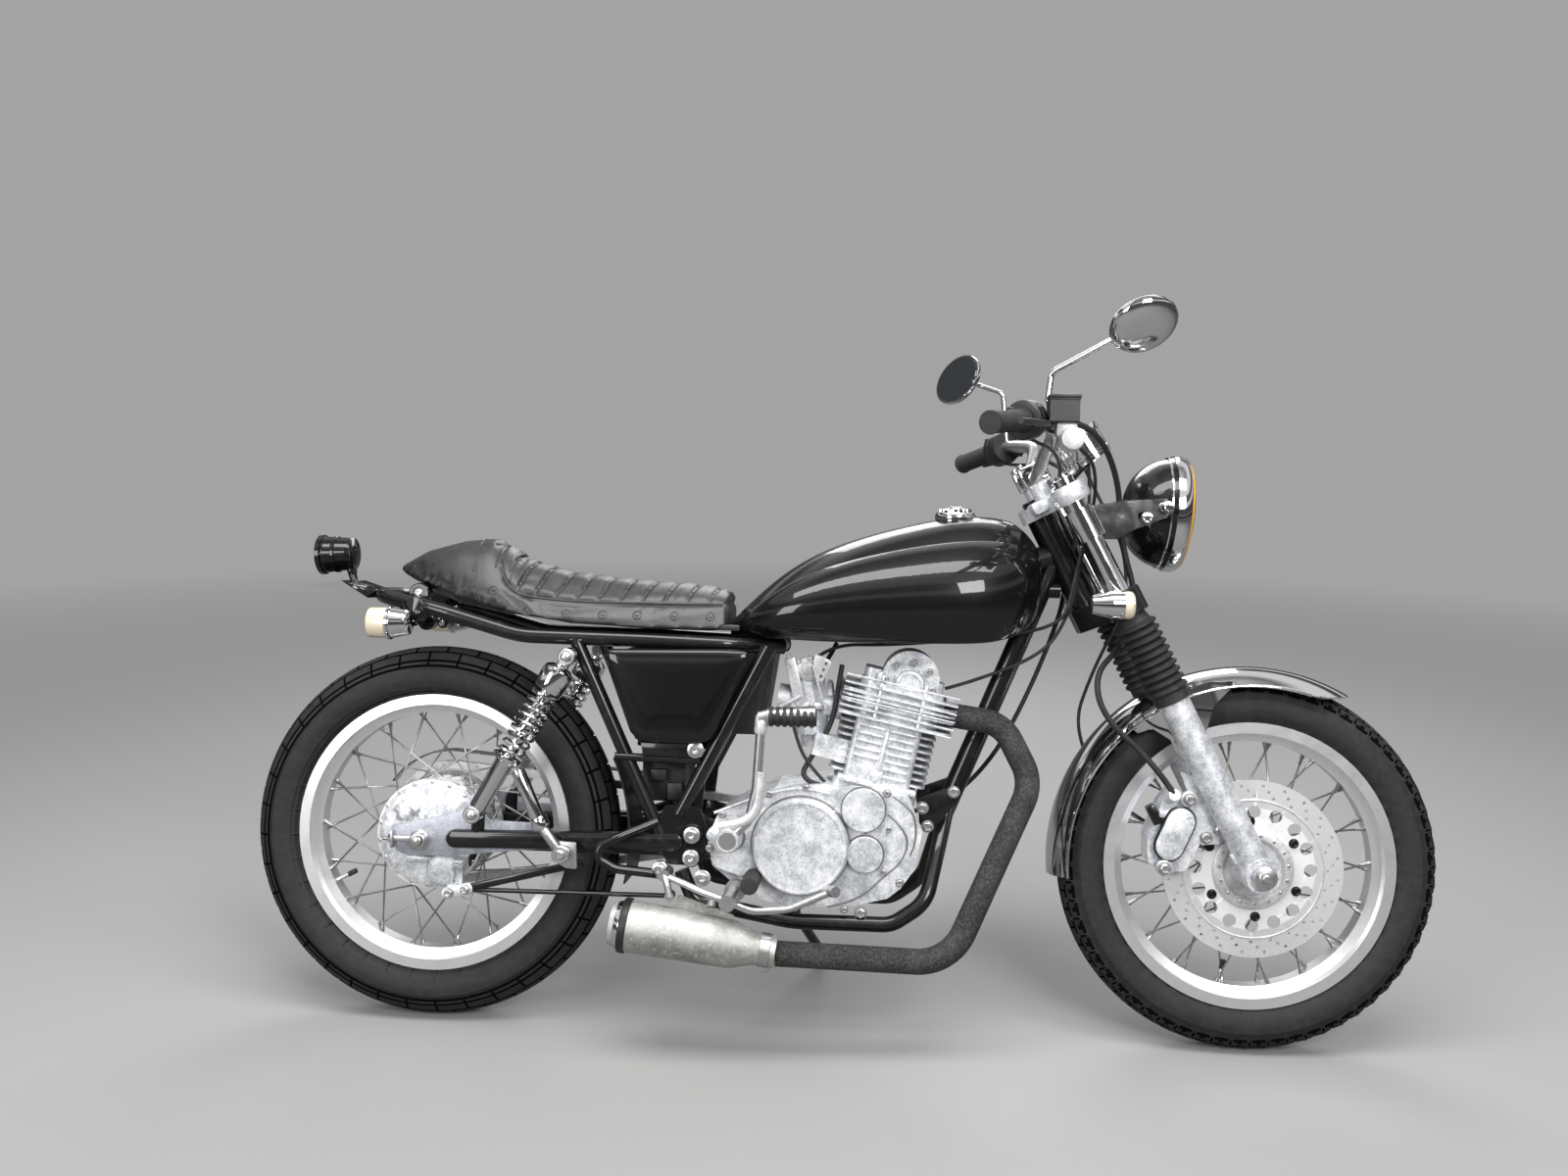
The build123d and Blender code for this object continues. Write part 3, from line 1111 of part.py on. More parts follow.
with BuildPart() as control_cables:
    tube(THROTTLE_CABLE, THROTTLE_BENDS, CABLE_R)
    tube(METER_CABLE, METER_BENDS, CABLE_R)
    tube(CLUTCH_CABLE, CLUTCH_BENDS, 4)
    for neighbour in (bar_controls, handlebar, gauges, carburettor, cylinder_head, crankcase,
                      frame_backbone, frame_cradle, fuel_tank):
        add(neighbour.part, mode=Mode.SUBTRACT)
pieces["control_cables"] = control_cables

# Side stand, down on the left: two ears on the lug's bolt, the leg and its foot
with BuildPart() as side_stand:
    for ear in (-1, 1):
        near = STAND_PIVOT + stand_axis * ear * (STAND_LUG_HALF + FIT)
        rod(tuple(near), tuple(near + stand_axis * ear * 5), 15)
    neck = STAND_PIVOT + stand_leg * 20
    reach = STAND_LUG_HALF + FIT + 5
    rod(tuple(neck - stand_axis * reach), tuple(neck + stand_axis * reach), 9)
    rod(tuple(neck), tuple(STAND_FOOT), 9)
    with Locations(Location(tuple(STAND_FOOT), (PARKED_LEAN, 0, 0))):
        Box(58, 38, STAND_FOOT_THICKNESS)
    bolt_reach = stand_axis * 40
    rod(tuple(STAND_PIVOT - bolt_reach), tuple(STAND_PIVOT + bolt_reach),
        STAND_BOLT_R + RUNNING_FIT, mode=Mode.SUBTRACT)
    rod(tuple(STAND_PIVOT - stand_axis * (STAND_LUG_HALF + FIT)),
        tuple(STAND_PIVOT + stand_axis * (STAND_LUG_HALF + FIT)), 17, mode=Mode.SUBTRACT)
pieces["side_stand"] = side_stand


# The finished pieces, leaned on the side stand with both tyres on the floor. The origin is
# on the floor, under the middle of the leaned machine's outer box.
leaned = {name: piece.part.rotate(Axis.X, -PARKED_LEAN) for name, piece in pieces.items()}
boxes = [piece.bounding_box() for piece in leaned.values()]
middle_x = (min(box.min.X for box in boxes) + max(box.max.X for box in boxes)) / 2
middle_y = (min(box.min.Y for box in boxes) + max(box.max.Y for box in boxes)) / 2
to_origin = Vector(-middle_x, -middle_y, TYRE_LIFT)
os.makedirs("parts", exist_ok=True)
for name, piece in leaned.items():
    stored = piece.translate(to_origin)
    stored.label = name
    export_step(stored, f"parts/{name}.step")
print("moved to the origin by", to_origin)
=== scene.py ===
# %% [markdown]
# # A cafe racer motorcycle on its side stand
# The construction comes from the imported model: every load-carrying piece already stands
# at its real place and size. This notebook dresses it. It gives each surface its finish
# and models what a machinist's drawing leaves out: tread, springs, cables, stitching,
# bolts, lenses and glass.

# %% Load the frame
import bpy
import bmesh
import json
import math
from mathutils import Matrix, Vector


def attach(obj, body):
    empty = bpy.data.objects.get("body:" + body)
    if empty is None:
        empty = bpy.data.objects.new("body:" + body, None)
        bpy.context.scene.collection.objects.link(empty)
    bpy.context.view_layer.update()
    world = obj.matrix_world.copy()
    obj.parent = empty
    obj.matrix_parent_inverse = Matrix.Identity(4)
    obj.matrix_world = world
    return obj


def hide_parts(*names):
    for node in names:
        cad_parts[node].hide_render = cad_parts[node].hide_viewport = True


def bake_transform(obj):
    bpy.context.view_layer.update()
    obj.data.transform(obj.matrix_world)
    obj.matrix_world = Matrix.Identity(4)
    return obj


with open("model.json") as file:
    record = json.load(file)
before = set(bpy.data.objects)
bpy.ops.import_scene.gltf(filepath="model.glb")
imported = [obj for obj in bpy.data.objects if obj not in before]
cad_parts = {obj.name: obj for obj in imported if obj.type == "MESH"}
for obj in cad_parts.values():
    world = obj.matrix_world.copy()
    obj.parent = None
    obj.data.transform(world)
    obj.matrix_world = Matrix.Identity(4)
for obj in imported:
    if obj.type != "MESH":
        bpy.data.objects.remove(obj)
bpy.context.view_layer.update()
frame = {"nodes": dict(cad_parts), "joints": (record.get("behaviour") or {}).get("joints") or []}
nodes = frame["nodes"]
MM = 0.001

# %% [markdown]
# A motorcycle is drawn upright, but this one is stored as it parks, leaning to its left.
# Every size below is written for the upright machine, in millimetres from the rear axle
# and the floor. One matrix then turns a finished piece into the leaned place.

# %% The upright machine's frame
LEAN = math.radians(8)
rear_axle_row = Vector(next(j["pos_m"] for j in frame["joints"] if j["name"] == "rear_wheel_spin"))
REAR_TYRE_R = 327
FRONT_TYRE_R = 318
WHEELBASE = 1410
RAKE = math.radians(27.4)
FORK_OFFSET = 48
FORK_HALF_SPACING = 100
lean_turn = Matrix.Rotation(-LEAN, 4, "X")
leaned_axle = lean_turn @ Vector((0, 0, REAR_TYRE_R * MM))
PARKED = Matrix.Translation(rear_axle_row - leaned_axle) @ lean_turn

STEER_X = Vector((math.cos(RAKE), 0, math.sin(RAKE)))
STEER_Z = Vector((-math.sin(RAKE), 0, math.cos(RAKE)))
STEER_FOOT = Vector((WHEELBASE, 0, FRONT_TYRE_R)) - STEER_X * FORK_OFFSET

ORIGIN = (0, 0, 0)
UP = (0, 0, 1)
RIGHT = Vector((0, -1, 0))
LEFT = Vector((0, 1, 0))
SIDES = (-1, 1)
FORK_SIDES = (-FORK_HALF_SPACING, FORK_HALF_SPACING)
STEER_AXES = (STEER_X, LEFT, STEER_Z)


def steered(ahead, across, up):
    """A point of the steered assembly, in upright millimetres."""
    return STEER_FOOT + STEER_X * ahead + Vector((0, across, 0)) + STEER_Z * up


def outward(side):
    """The direction away from the middle: side is -1 on the right and 1 on the left."""
    return Vector((0, side, 0))


print("rear axle at", [round(value, 4) for value in rear_axle_row], "m")


# %% [markdown]
# The camera stands on the right of the machine, level with the tank's underside, with a
# lens that covers 59 degrees. It leans with the machine, so that the picture shows it as
# the photograph does.

# %% Camera
FOCAL_PIXELS = 1400
IMAGE_WIDTH = 1600
CAMERA_PLACE = Vector((776.3, -2411.3, 771.4))
CAMERA_YAW = math.radians(4.0)
CAMERA_ROLL = math.radians(1.28)

bpy.ops.object.camera_add()
camera = bpy.context.object
camera.name = "camera"
camera.data.sensor_width = 36
camera.data.lens = FOCAL_PIXELS / IMAGE_WIDTH * camera.data.sensor_width
camera.data.clip_start = 0.05
aim = Matrix.Rotation(CAMERA_YAW, 4, "Z") @ Matrix.Rotation(math.pi / 2, 4, "X")
aim = aim @ Matrix.Rotation(CAMERA_ROLL, 4, "Z")
camera.matrix_world = PARKED @ Matrix.Translation(CAMERA_PLACE * MM) @ aim
bpy.context.scene.camera = camera
bpy.context.scene.view_settings.view_transform = "Standard"
print("lens", round(camera.data.lens, 1), "mm")

# %% [markdown]
# Shader maths reads best as an expression. A small class wraps a socket, so that
# 1 - wear * 0.4 adds its Math nodes by itself. One method adds every other node.

# %% A socket that can be calculated with
class Wire:
    """A node's output that takes part in expressions."""

    def __init__(self, shader, socket):
        self.shader = shader
        self.socket = socket

    def math(self, operation, *others, clamp=False):
        settings = {"operation": operation, "use_clamp": clamp}
        return self.shader.node("ShaderNodeMath", settings, dict(enumerate((self, *others))))

    def __add__(self, other):
        return self.math("ADD", other)

    def __radd__(self, other):
        return self.math("ADD", other)

    def __sub__(self, other):
        return self.math("SUBTRACT", other)

    def __rsub__(self, other):
        return (self * -1).math("ADD", other)

    def __mul__(self, other):
        return self.math("MULTIPLY", other)

    def __rmul__(self, other):
        return self.math("MULTIPLY", other)

    def __truediv__(self, other):
        return self.math("DIVIDE", other)

    def above(self, level, soft=0.05):
        """0 below a level, 1 above it, with a soft edge between."""
        return ((self - (level - soft)) / (2 * soft)).math("ADD", 0, clamp=True)


class Shader:
    """A material under construction, with its Principled BSDF."""

    def __init__(self, name, color, roughness=0.5, metallic=0.0, **constants):
        self.material = bpy.data.materials.new(name)
        self.material.use_nodes = True
        self.tree = self.material.node_tree
        self.bsdf = self.tree.nodes["Principled BSDF"]
        self.set("Base Color", (*color, 1))
        self.set("Roughness", roughness)
        self.set("Metallic", metallic)
        for socket, value in constants.items():
            self.set(socket.replace("_", " "), value)

    def set(self, socket, value):
        target = self.bsdf.inputs[socket]
        if isinstance(value, Wire):
            self.tree.links.new(value.socket, target)
        else:
            target.default_value = value

    def node(self, kind, settings=None, values=None, output=0):
        """Adds a node of a type: first its settings, then its sockets' values or links."""
        made = self.tree.nodes.new(kind)
        for key, value in (settings or {}).items():
            setattr(made, key, value)
        for key, value in (values or {}).items():
            if isinstance(value, Wire):
                self.tree.links.new(value.socket, made.inputs[key])
            else:
                made.inputs[key].default_value = value
        return Wire(self, made.outputs[output])

    def place(self):
        """Where a point is on its object, in metres."""
        return self.node("ShaderNodeTexCoord", output="Object")

    def noise(self, scale, detail=4, roughness=0.55):
        values = {"Vector": self.place(), "Scale": scale, "Detail": detail, "Roughness": roughness}
        return self.node("ShaderNodeTexNoise", None, values, "Fac")

    def cells(self, scale):
        values = {"Vector": self.place(), "Scale": scale}
        return self.node("ShaderNodeTexVoronoi", {"feature": "F1"}, values, "Distance")

    def blend(self, factor, first, second):
        """A colour between two colours."""
        values = {0: factor}
        for socket, color in ((6, first), (7, second)):
            values[socket] = color if isinstance(color, Wire) else (*color, 1)
        return self.node("ShaderNodeMix", {"data_type": "RGBA"}, values, 2)

    def bump(self, height, distance, strength):
        """Raises the surface by a height, in metres, without moving it."""
        values = {"Height": height, "Distance": distance, "Strength": strength}
        self.set("Normal", self.node("ShaderNodeBump", None, values))


print("shader maths ready")


# %% [markdown]
# ## Finishes
# Each finish is one short function. Paint is a dark base under a clear coat that carries
# fine swirls. Bright parts are never clean on a used machine: chrome has dull freckles,
# and castings are mottled by oxide.

# %% Black paint
def gloss_paint():
    shader = Shader("gloss_black_paint", (0.003, 0.003, 0.0035), 0.3, 0.0, Coat_Weight=0.75,
                    Coat_Roughness=0.025, Specular_IOR_Level=0.15)
    shader.set("Roughness", 0.26 + shader.noise(38, 6, 0.7) * 0.2)
    shader.bump(shader.noise(9, 2), 0.0006, 0.25)
    return shader.material


def frame_paint():
    shader = Shader("frame_black_paint", (0.004, 0.004, 0.0045), 0.3, 0.0, Coat_Weight=0.6,
                    Coat_Roughness=0.08, Specular_IOR_Level=0.25)
    dust = shader.noise(60, 5, 0.65)
    grime = dust.above(0.64, 0.08)
    shader.set("Base Color", shader.blend(grime * 0.4, (0.004, 0.004, 0.0045),
                                          (0.04, 0.037, 0.033)))
    shader.set("Roughness", 0.24 + dust * 0.25)
    shader.bump(shader.noise(420, 2), 0.0002, 0.3)
    return shader.material


# %% [markdown]
# A used machine's metal tells its parts apart by roughness more than by colour. Chrome
# mirrors and has a few dull freckles, a polished rim is softer, and a casting is mottled.
# Noise at two scales drives each of them, so that no two places look the same.

# %% Chrome, polished alloy and castings
def chrome():
    shader = Shader("chrome_plate", (0.8, 0.8, 0.81), 0.06, 1.0)
    freckles = shader.cells(520).math("LESS_THAN", 0.16) * shader.noise(60).above(0.6, 0.04)
    shader.set("Base Color", shader.blend(freckles * 0.6, (0.8, 0.8, 0.81), (0.3, 0.24, 0.2)))
    shader.set("Roughness", 0.05 + shader.noise(45, 5).above(0.58, 0.25) * 0.1 + freckles * 0.3)
    return shader.material


def rim_alloy():
    shader = Shader("polished_rim", (0.9, 0.9, 0.91), 0.24, 0.9)
    stains = shader.noise(30, 6, 0.7)
    shader.set("Base Color", shader.blend(stains.above(0.64, 0.1) * 0.4, (0.92, 0.92, 0.93),
                                          (0.62, 0.61, 0.59)))
    shader.set("Roughness", 0.22 + stains * 0.2)
    return shader.material


def cast_alloy(name="cast_alloy", bright=(0.97, 0.975, 0.985), dull=(0.46, 0.48, 0.52), pit=0.75):
    """Aluminium castings, bead-blasted once and now speckled by oxide."""
    shader = Shader(name, bright, 0.45, 0.7)
    cloud = shader.noise(30, 9, 0.78)
    flecks = shader.noise(260, 5, 0.75)
    bloom = (cloud * 0.6 + flecks * 0.4).above(0.5, 0.07)
    pits = flecks.above(0.62, 0.04) * cloud.above(0.46, 0.1)
    base = shader.blend(bloom, dull, bright)
    shader.set("Base Color", shader.blend(pits * pit, base, (0.22, 0.23, 0.25)))
    shader.set("Metallic", 0.5 - pits * 0.3)
    shader.set("Roughness", 0.3 + cloud * 0.25 + pits * 0.2)
    shader.bump(flecks + cloud * 0.4, 0.0004, 0.7)
    return shader.material


def steel(name="satin_steel", tone=0.62, rust=(0.3, 0.26, 0.22), metal=1.0):
    shader = Shader(name, (tone, tone, tone), 0.3, metal)
    wear = shader.noise(90, 6, 0.7)
    shader.set("Base Color", shader.blend(wear.above(0.6, 0.12) * 0.6,
                                          (tone, tone, tone * 1.01), rust))
    shader.set("Roughness", 0.22 + wear * 0.25)
    return shader.material


# %% [markdown]
# Rubber and plastic are nearly black, and dust makes them paler in patches. The header has
# heat-proof paint with a crust that a strong bump shows, and the muffler is bare alloy with
# a cloudy bloom. Each finish takes its own scale of noise.

# %% Rubber, plastic and exhaust finishes
def rubber(name="soft_rubber", tone=0.014, rough=0.62):
    shader = Shader(name, (tone, tone, tone), rough, 0.0)
    dust = shader.noise(70, 6, 0.7)
    shader.set("Base Color", shader.blend(dust.above(0.56, 0.15) * 0.6, (tone, tone, tone),
                                          (tone * 3.2, tone * 3.1, tone * 2.9)))
    shader.set("Roughness", rough - 0.08 + dust * 0.2)
    shader.bump(shader.noise(700, 2), 0.0002, 0.4)
    return shader.material


def plastic():
    shader = Shader("satin_plastic", (0.014, 0.014, 0.015), 0.4)
    grain = shader.noise(900, 2)
    shader.set("Roughness", 0.34 + shader.noise(50, 4) * 0.2)
    shader.bump(grain, 0.0002, 0.5)
    return shader.material


def exhaust_paint():
    shader = Shader("exhaust_paint", (0.035, 0.034, 0.033), 0.82, 0.2)
    crust = shader.noise(240, 5, 0.7)
    patches = shader.noise(22, 5, 0.6).above(0.55, 0.1)
    shader.set("Base Color", shader.blend(crust.above(0.56, 0.1) * 0.6 + patches * 0.2,
                                          (0.022, 0.021, 0.021), (0.12, 0.115, 0.11)))
    shader.bump(crust, 0.0012, 0.8)
    return shader.material


def muffler_alloy():
    shader = Shader("muffler_alloy", (0.5, 0.5, 0.48), 0.5, 0.8)
    cloud = shader.noise(18, 8, 0.75)
    streaks = shader.noise(160, 4, 0.7)
    base = shader.blend(cloud.above(0.5, 0.15), (0.33, 0.33, 0.31), (0.62, 0.62, 0.6))
    shader.set("Base Color", shader.blend(streaks.above(0.62, 0.06) * 0.6, base, (0.8, 0.8, 0.78)))
    shader.set("Metallic", 0.8 - streaks.above(0.6, 0.08) * 0.4)
    shader.set("Roughness", 0.42 + cloud * 0.25)
    shader.bump(streaks, 0.0004, 0.5)
    return shader.material


# %% [markdown]
# Every finish gets a short name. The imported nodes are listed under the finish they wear, so
# that one loop can dress them all through their material slots.

# %% The table of finishes
FINISHES = {
    "gloss": gloss_paint(),
    "frame": frame_paint(),
    "chrome": chrome(),
    "rim": rim_alloy(),
    "cast": cast_alloy(),
    "hub": cast_alloy("hub_alloy", (0.78, 0.78, 0.79), (0.5, 0.5, 0.51), 0.3),
    "steel": steel(),
    "disc": steel("disc_carrier", 0.93, (0.84, 0.83, 0.81), 0.35),
    "band": steel("disc_band", 0.8, (0.62, 0.6, 0.57), 0.55),
    "spoke": steel("spoke_steel", 0.34, (0.2, 0.16, 0.12), 0.9),
    "rubber": rubber(),
    "tyre": rubber("tyre_rubber", 0.011, 0.7),
    # The groove finish is painted shade: near-black for the bottoms of the tread's grooves.
    "groove": Shader("tread_groove_shade", (0.001, 0.001, 0.001), 0.9, 0.0,
                     Specular_IOR_Level=0.1).material,
    "plastic": plastic(),
    "exhaust": exhaust_paint(),
    "muffler": muffler_alloy(),
}
WEARERS = {
    "tyre": "rear_tyre front_tyre",
    "rim": "rear_rim front_rim",
    "hub": "rear_hub front_hub",
    "disc": "front_disc",
    "frame": "frame_backbone frame_cradle frame_posts frame_stays frame_seat_loop swing_arm "
             "lower_yoke side_stand",
    "chrome": "shocks chain_guard filler_cap lamp_brackets fork_tubes front_mudguard mirrors "
              "gauges front_indicators",
    "steel": "chain foot_controls handlebar",
    "cast": "brake_plate crankcase engine_covers barrel cylinder_head carburettor upper_yoke "
            "fork_sliders brake_caliper",
    "plastic": "air_box tail_lights bar_controls",
    "exhaust": "exhaust_pipe",
    "muffler": "muffler",
    "gloss": "fuel_tank side_covers headlamp",
    "rubber": "seat fork_gaiters grips brake_hose speedometer_cable control_cables",
}


def finish(target, name):
    """Gives all of an object's material slots one finish."""
    if not target.data.materials:
        target.data.materials.append(None)
    for index in range(len(target.material_slots)):
        target.material_slots[index].material = FINISHES[name]


for name, wearers in WEARERS.items():
    for node in wearers.split():
        finish(nodes[node], name)
print(len(FINISHES), "finishes on", sum(len(names.split()) for names in WEARERS.values()), "nodes")

# %% [markdown]
# ## Stage
# A pale floor, a banded world for bright metal to mirror, and four soft lamps. The camera
# sees floor and world in one plain tone, because a switch on its rays turns the bands off.

# %% Floor, world and lamps
def ray_switch(shader, seen, lighting):
    """One colour for the camera, another for the light that the surface throws back."""
    rays = shader.node("ShaderNodeLightPath", output="Is Camera Ray")
    return shader.blend(rays, lighting, seen)


bpy.ops.mesh.primitive_plane_add(size=40)
floor = bpy.context.object
floor.name = "floor"
floor_shader = Shader("floor_pale", (0.45, 0.45, 0.44), 0.9)
floor_shader.set("Base Color", ray_switch(floor_shader, (0.33, 0.33, 0.325), (0.17, 0.17, 0.165)))
WALL_TONE = (0.3675, 0.3675, 0.364)
apart = floor_shader.node("ShaderNodeVectorMath", {"operation": "LENGTH"},
                          {0: floor_shader.place()}, 1)
haze = ((apart - 2.6) / 4.2).math("ADD", 0, clamp=True)
seen = haze * floor_shader.node("ShaderNodeLightPath", output="Is Camera Ray")
glow = floor_shader.node("ShaderNodeEmission", None, {"Color": (*WALL_TONE, 1), "Strength": 1})
surface = Wire(floor_shader, floor_shader.bsdf.outputs[0])
mixed = floor_shader.node("ShaderNodeMixShader", None, {0: seen, 1: surface, 2: glow})
floor_output = floor_shader.tree.nodes["Material Output"]
floor_shader.tree.links.new(mixed.socket, floor_output.inputs["Surface"])
floor.data.materials.append(floor_shader.material)

SKY_BANDS = ((0.0, 0.26), (0.1, 0.1), (0.24, 0.08), (0.3, 1.15), (0.38, 1.15), (0.44, 0.12),
             (0.58, 0.14), (0.64, 1.3), (0.84, 1.3), (0.92, 0.3))
SKY_STRENGTH = 0.55
SEEN_SKY = (0.668, 0.668, 0.662)
world = bpy.data.worlds.new("studio")
bpy.context.scene.world = world
world.use_nodes = True
tree = world.node_tree
sky = tree.nodes["Background"]
sky.inputs["Strength"].default_value = SKY_STRENGTH
direction = tree.nodes.new("ShaderNodeTexCoord")
parts = tree.nodes.new("ShaderNodeSeparateXYZ")
tree.links.new(direction.outputs["Generated"], parts.inputs[0])
ramp = tree.nodes.new("ShaderNodeValToRGB")
tree.links.new(parts.outputs["Z"], ramp.inputs["Fac"])
for place, tone in SKY_BANDS:
    stop = ramp.color_ramp.elements.new(place)
    stop.color = (tone, tone, tone * 1.02, 1)
rays = tree.nodes.new("ShaderNodeLightPath")
mix = tree.nodes.new("ShaderNodeMix")
mix.data_type = "RGBA"
tree.links.new(rays.outputs["Is Camera Ray"], mix.inputs[0])
tree.links.new(ramp.outputs["Color"], mix.inputs[6])
mix.inputs[7].default_value = (*SEEN_SKY, 1)
tree.links.new(mix.outputs[2], sky.inputs["Color"])


def soft_lamp(name, place, target, size, power):
    bpy.ops.object.light_add(type="AREA", location=place)
    lamp = bpy.context.object
    lamp.name = name
    lamp.data.shape = "RECTANGLE"
    lamp.data.size = size[0]
    lamp.data.size_y = size[1]
    lamp.data.energy = power
    direction = Vector(target) - Vector(place)
    lamp.rotation_euler = direction.to_track_quat("-Z", "Y").to_euler()
    print(name, "lamp,", power, "W")


soft_lamp("overhead", (0.0, -0.9, 2.9), (0, 0, 0.4), (3.2, 0.9), 84)
soft_lamp("key", (1.5, -3.4, 2.6), (0, 0, 0.5), (1.4, 1.4), 92)
soft_lamp("fill", (-2.2, -3.2, 1.6), (0, 0, 0.5), (1.2, 1.6), 52)
soft_lamp("back", (0.2, 3.0, 2.8), (0, 0, 0.5), (2.4, 1.6), 66)

# %% [markdown]
# ## A bench of modelling tools
# The same few moves come back for every part of a motorcycle: turn a round thing, cut a
# plate, bend a rod, copy a bolt. Each is one short function on top of Blender's own
# operators. A piece is made upright and in millimetres, and is parked when it is done.

# %% Selecting and parking
MILLIMETRES = Matrix.Scale(MM, 4)


def only(*targets):
    """Selects these objects and nothing else; the first is the active one."""
    bpy.ops.object.select_all(action="DESELECT")
    for target in targets:
        target.select_set(True)
    bpy.context.view_layer.objects.active = targets[0]


def named(name):
    made = bpy.context.object
    made.name = name
    made.data.name = name
    return made


def edit(piece):
    only(piece)
    bpy.ops.object.mode_set(mode="EDIT")


def leave():
    bpy.ops.object.mode_set(mode="OBJECT")


def pick(piece, test):
    """In edit mode, selects the faces that pass a test of their middle and normal."""
    mesh = bmesh.from_edit_mesh(piece.data)
    mesh.select_mode = {"FACE"}
    for part in (*mesh.faces, *mesh.edges, *mesh.verts):
        part.select = False
    for face in mesh.faces:
        if test(face.calc_center_median(), face.normal):
            face.select_set(True)
    mesh.select_flush_mode()
    bmesh.update_edit_mesh(piece.data)


def modify(piece, kind, **settings):
    """Adds a modifier and applies it at once."""
    only(piece)
    modifier = piece.modifiers.new(kind.lower(), kind)
    for key, value in settings.items():
        setattr(modifier, key, value)
    bpy.ops.object.modifier_apply(modifier=modifier.name)


def rounded(piece, width, segments=2, angle=30):
    modify(piece, "BEVEL", width=width, segments=segments, limit_method="ANGLE",
           angle_limit=math.radians(angle), use_clamp_overlap=True)


def joined(name, parts):
    """Joins several finished parts into one piece."""
    only(*parts)
    bpy.ops.object.join()
    return named(name)


def park(piece, body, finish_name, smooth=35):
    """Leans a finished piece into its place, gives it its finish and lets it ride."""
    piece.matrix_world = PARKED @ MILLIMETRES @ piece.matrix_world
    only(piece)
    bpy.ops.object.transform_apply(location=True, rotation=True, scale=True)
    bpy.ops.object.shade_smooth_by_angle(angle=math.radians(smooth))
    finish(piece, finish_name)
    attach(piece, body)
    print(piece.name, len(piece.data.polygons), "faces, on", body)
    return piece


def second_finish(piece, name, test):
    """Gives the faces that pass a test of their upright place a second finish."""
    upright = PARKED.inverted()
    piece.data.materials.append(FINISHES[name])
    last = len(piece.data.materials) - 1
    for face in piece.data.polygons:
        if test((upright @ face.center) * 1000):
            face.material_index = last


# %% [markdown]
# A lathe, a bender and a pair of shears make most of a motorcycle. The lathe is a circle that
# is extruded and scaled step by step, the bender a spline with a round section, and the
# shears an outline that is extruded across. A modifier rounds the edges where light catches.

# %% Turning, bending and cutting
def facing(axis, roll=0.0):
    """The turn that takes a primitive's own Z axis onto an axis."""
    return Vector(axis).to_track_quat("Z", "Y") @ Matrix.Rotation(roll, 3, "Z").to_quaternion()


def close_up(threshold=0.01):
    """In edit mode, merges doubled points and turns every face outwards."""
    bpy.ops.mesh.select_all(action="SELECT")
    bpy.ops.mesh.remove_doubles(threshold=threshold)
    bpy.ops.mesh.normals_make_consistent(inside=False)


def turn(name, place, axis, steps, sides=48, closed=False):
    """Turns a round part: a circle is extruded and scaled from step to step.

    Each step is a radius and a distance along the axis. The ends are capped, unless the
    profile is closed on itself like a ring's.
    """
    radius, along = steps[0]
    bpy.ops.mesh.primitive_circle_add(vertices=sides, radius=radius, location=(0, 0, along))
    part = named(name)
    bpy.ops.object.transform_apply(location=True)
    edit(part)
    bpy.ops.mesh.select_all(action="SELECT")
    if not closed:
        bpy.ops.mesh.edge_face_add()
    for next_radius, next_along in steps[1:] + ([steps[0]] if closed else []):
        if closed:
            bpy.ops.mesh.extrude_edges_move()
        else:
            bpy.ops.mesh.extrude_region_move()
        bpy.ops.transform.translate(value=(0, 0, next_along - along))
        grow = max(next_radius, 0.01) / max(radius, 0.01)
        bpy.ops.transform.resize(value=(grow, grow, 1), center_override=(0, 0, next_along))
        radius, along = next_radius, next_along
    close_up(0.005)
    leave()
    part.rotation_mode = "QUATERNION"
    part.rotation_quaternion = facing(axis)
    part.location = place
    bpy.ops.object.transform_apply(location=True, rotation=True)
    return part


def rod(name, start, end, radius, sides=20, bevel=0.0):
    """A straight round bar between two points."""
    run = Vector(end) - Vector(start)
    bpy.ops.mesh.primitive_cylinder_add(vertices=sides, radius=radius, depth=run.length)
    part = named(name)
    part.rotation_mode = "QUATERNION"
    part.rotation_quaternion = facing(run)
    part.location = (Vector(start) + Vector(end)) / 2
    bpy.ops.object.transform_apply(location=True, rotation=True)
    if bevel:
        rounded(part, bevel)
    return part


def line(name, points, radius, sides=5, order=3, smooth=10):
    """A bent rod or cable: a smooth spline through its runs, with a round section."""
    curve = bpy.data.curves.new(name, "CURVE")
    curve.dimensions = "3D"
    curve.bevel_depth = radius
    curve.bevel_resolution = sides
    curve.resolution_u = smooth
    curve.use_fill_caps = True
    spline = curve.splines.new("NURBS")
    spline.points.add(len(points) - 1)
    for point, place in zip(spline.points, points):
        point.co = (*place, 1)
    spline.order_u = order
    spline.use_endpoint_u = True
    part = bpy.data.objects.new(name, curve)
    bpy.context.scene.collection.objects.link(part)
    only(part)
    bpy.ops.object.convert(target="MESH")
    part = named(name)
    edit(part)
    close_up()
    leave()
    return part


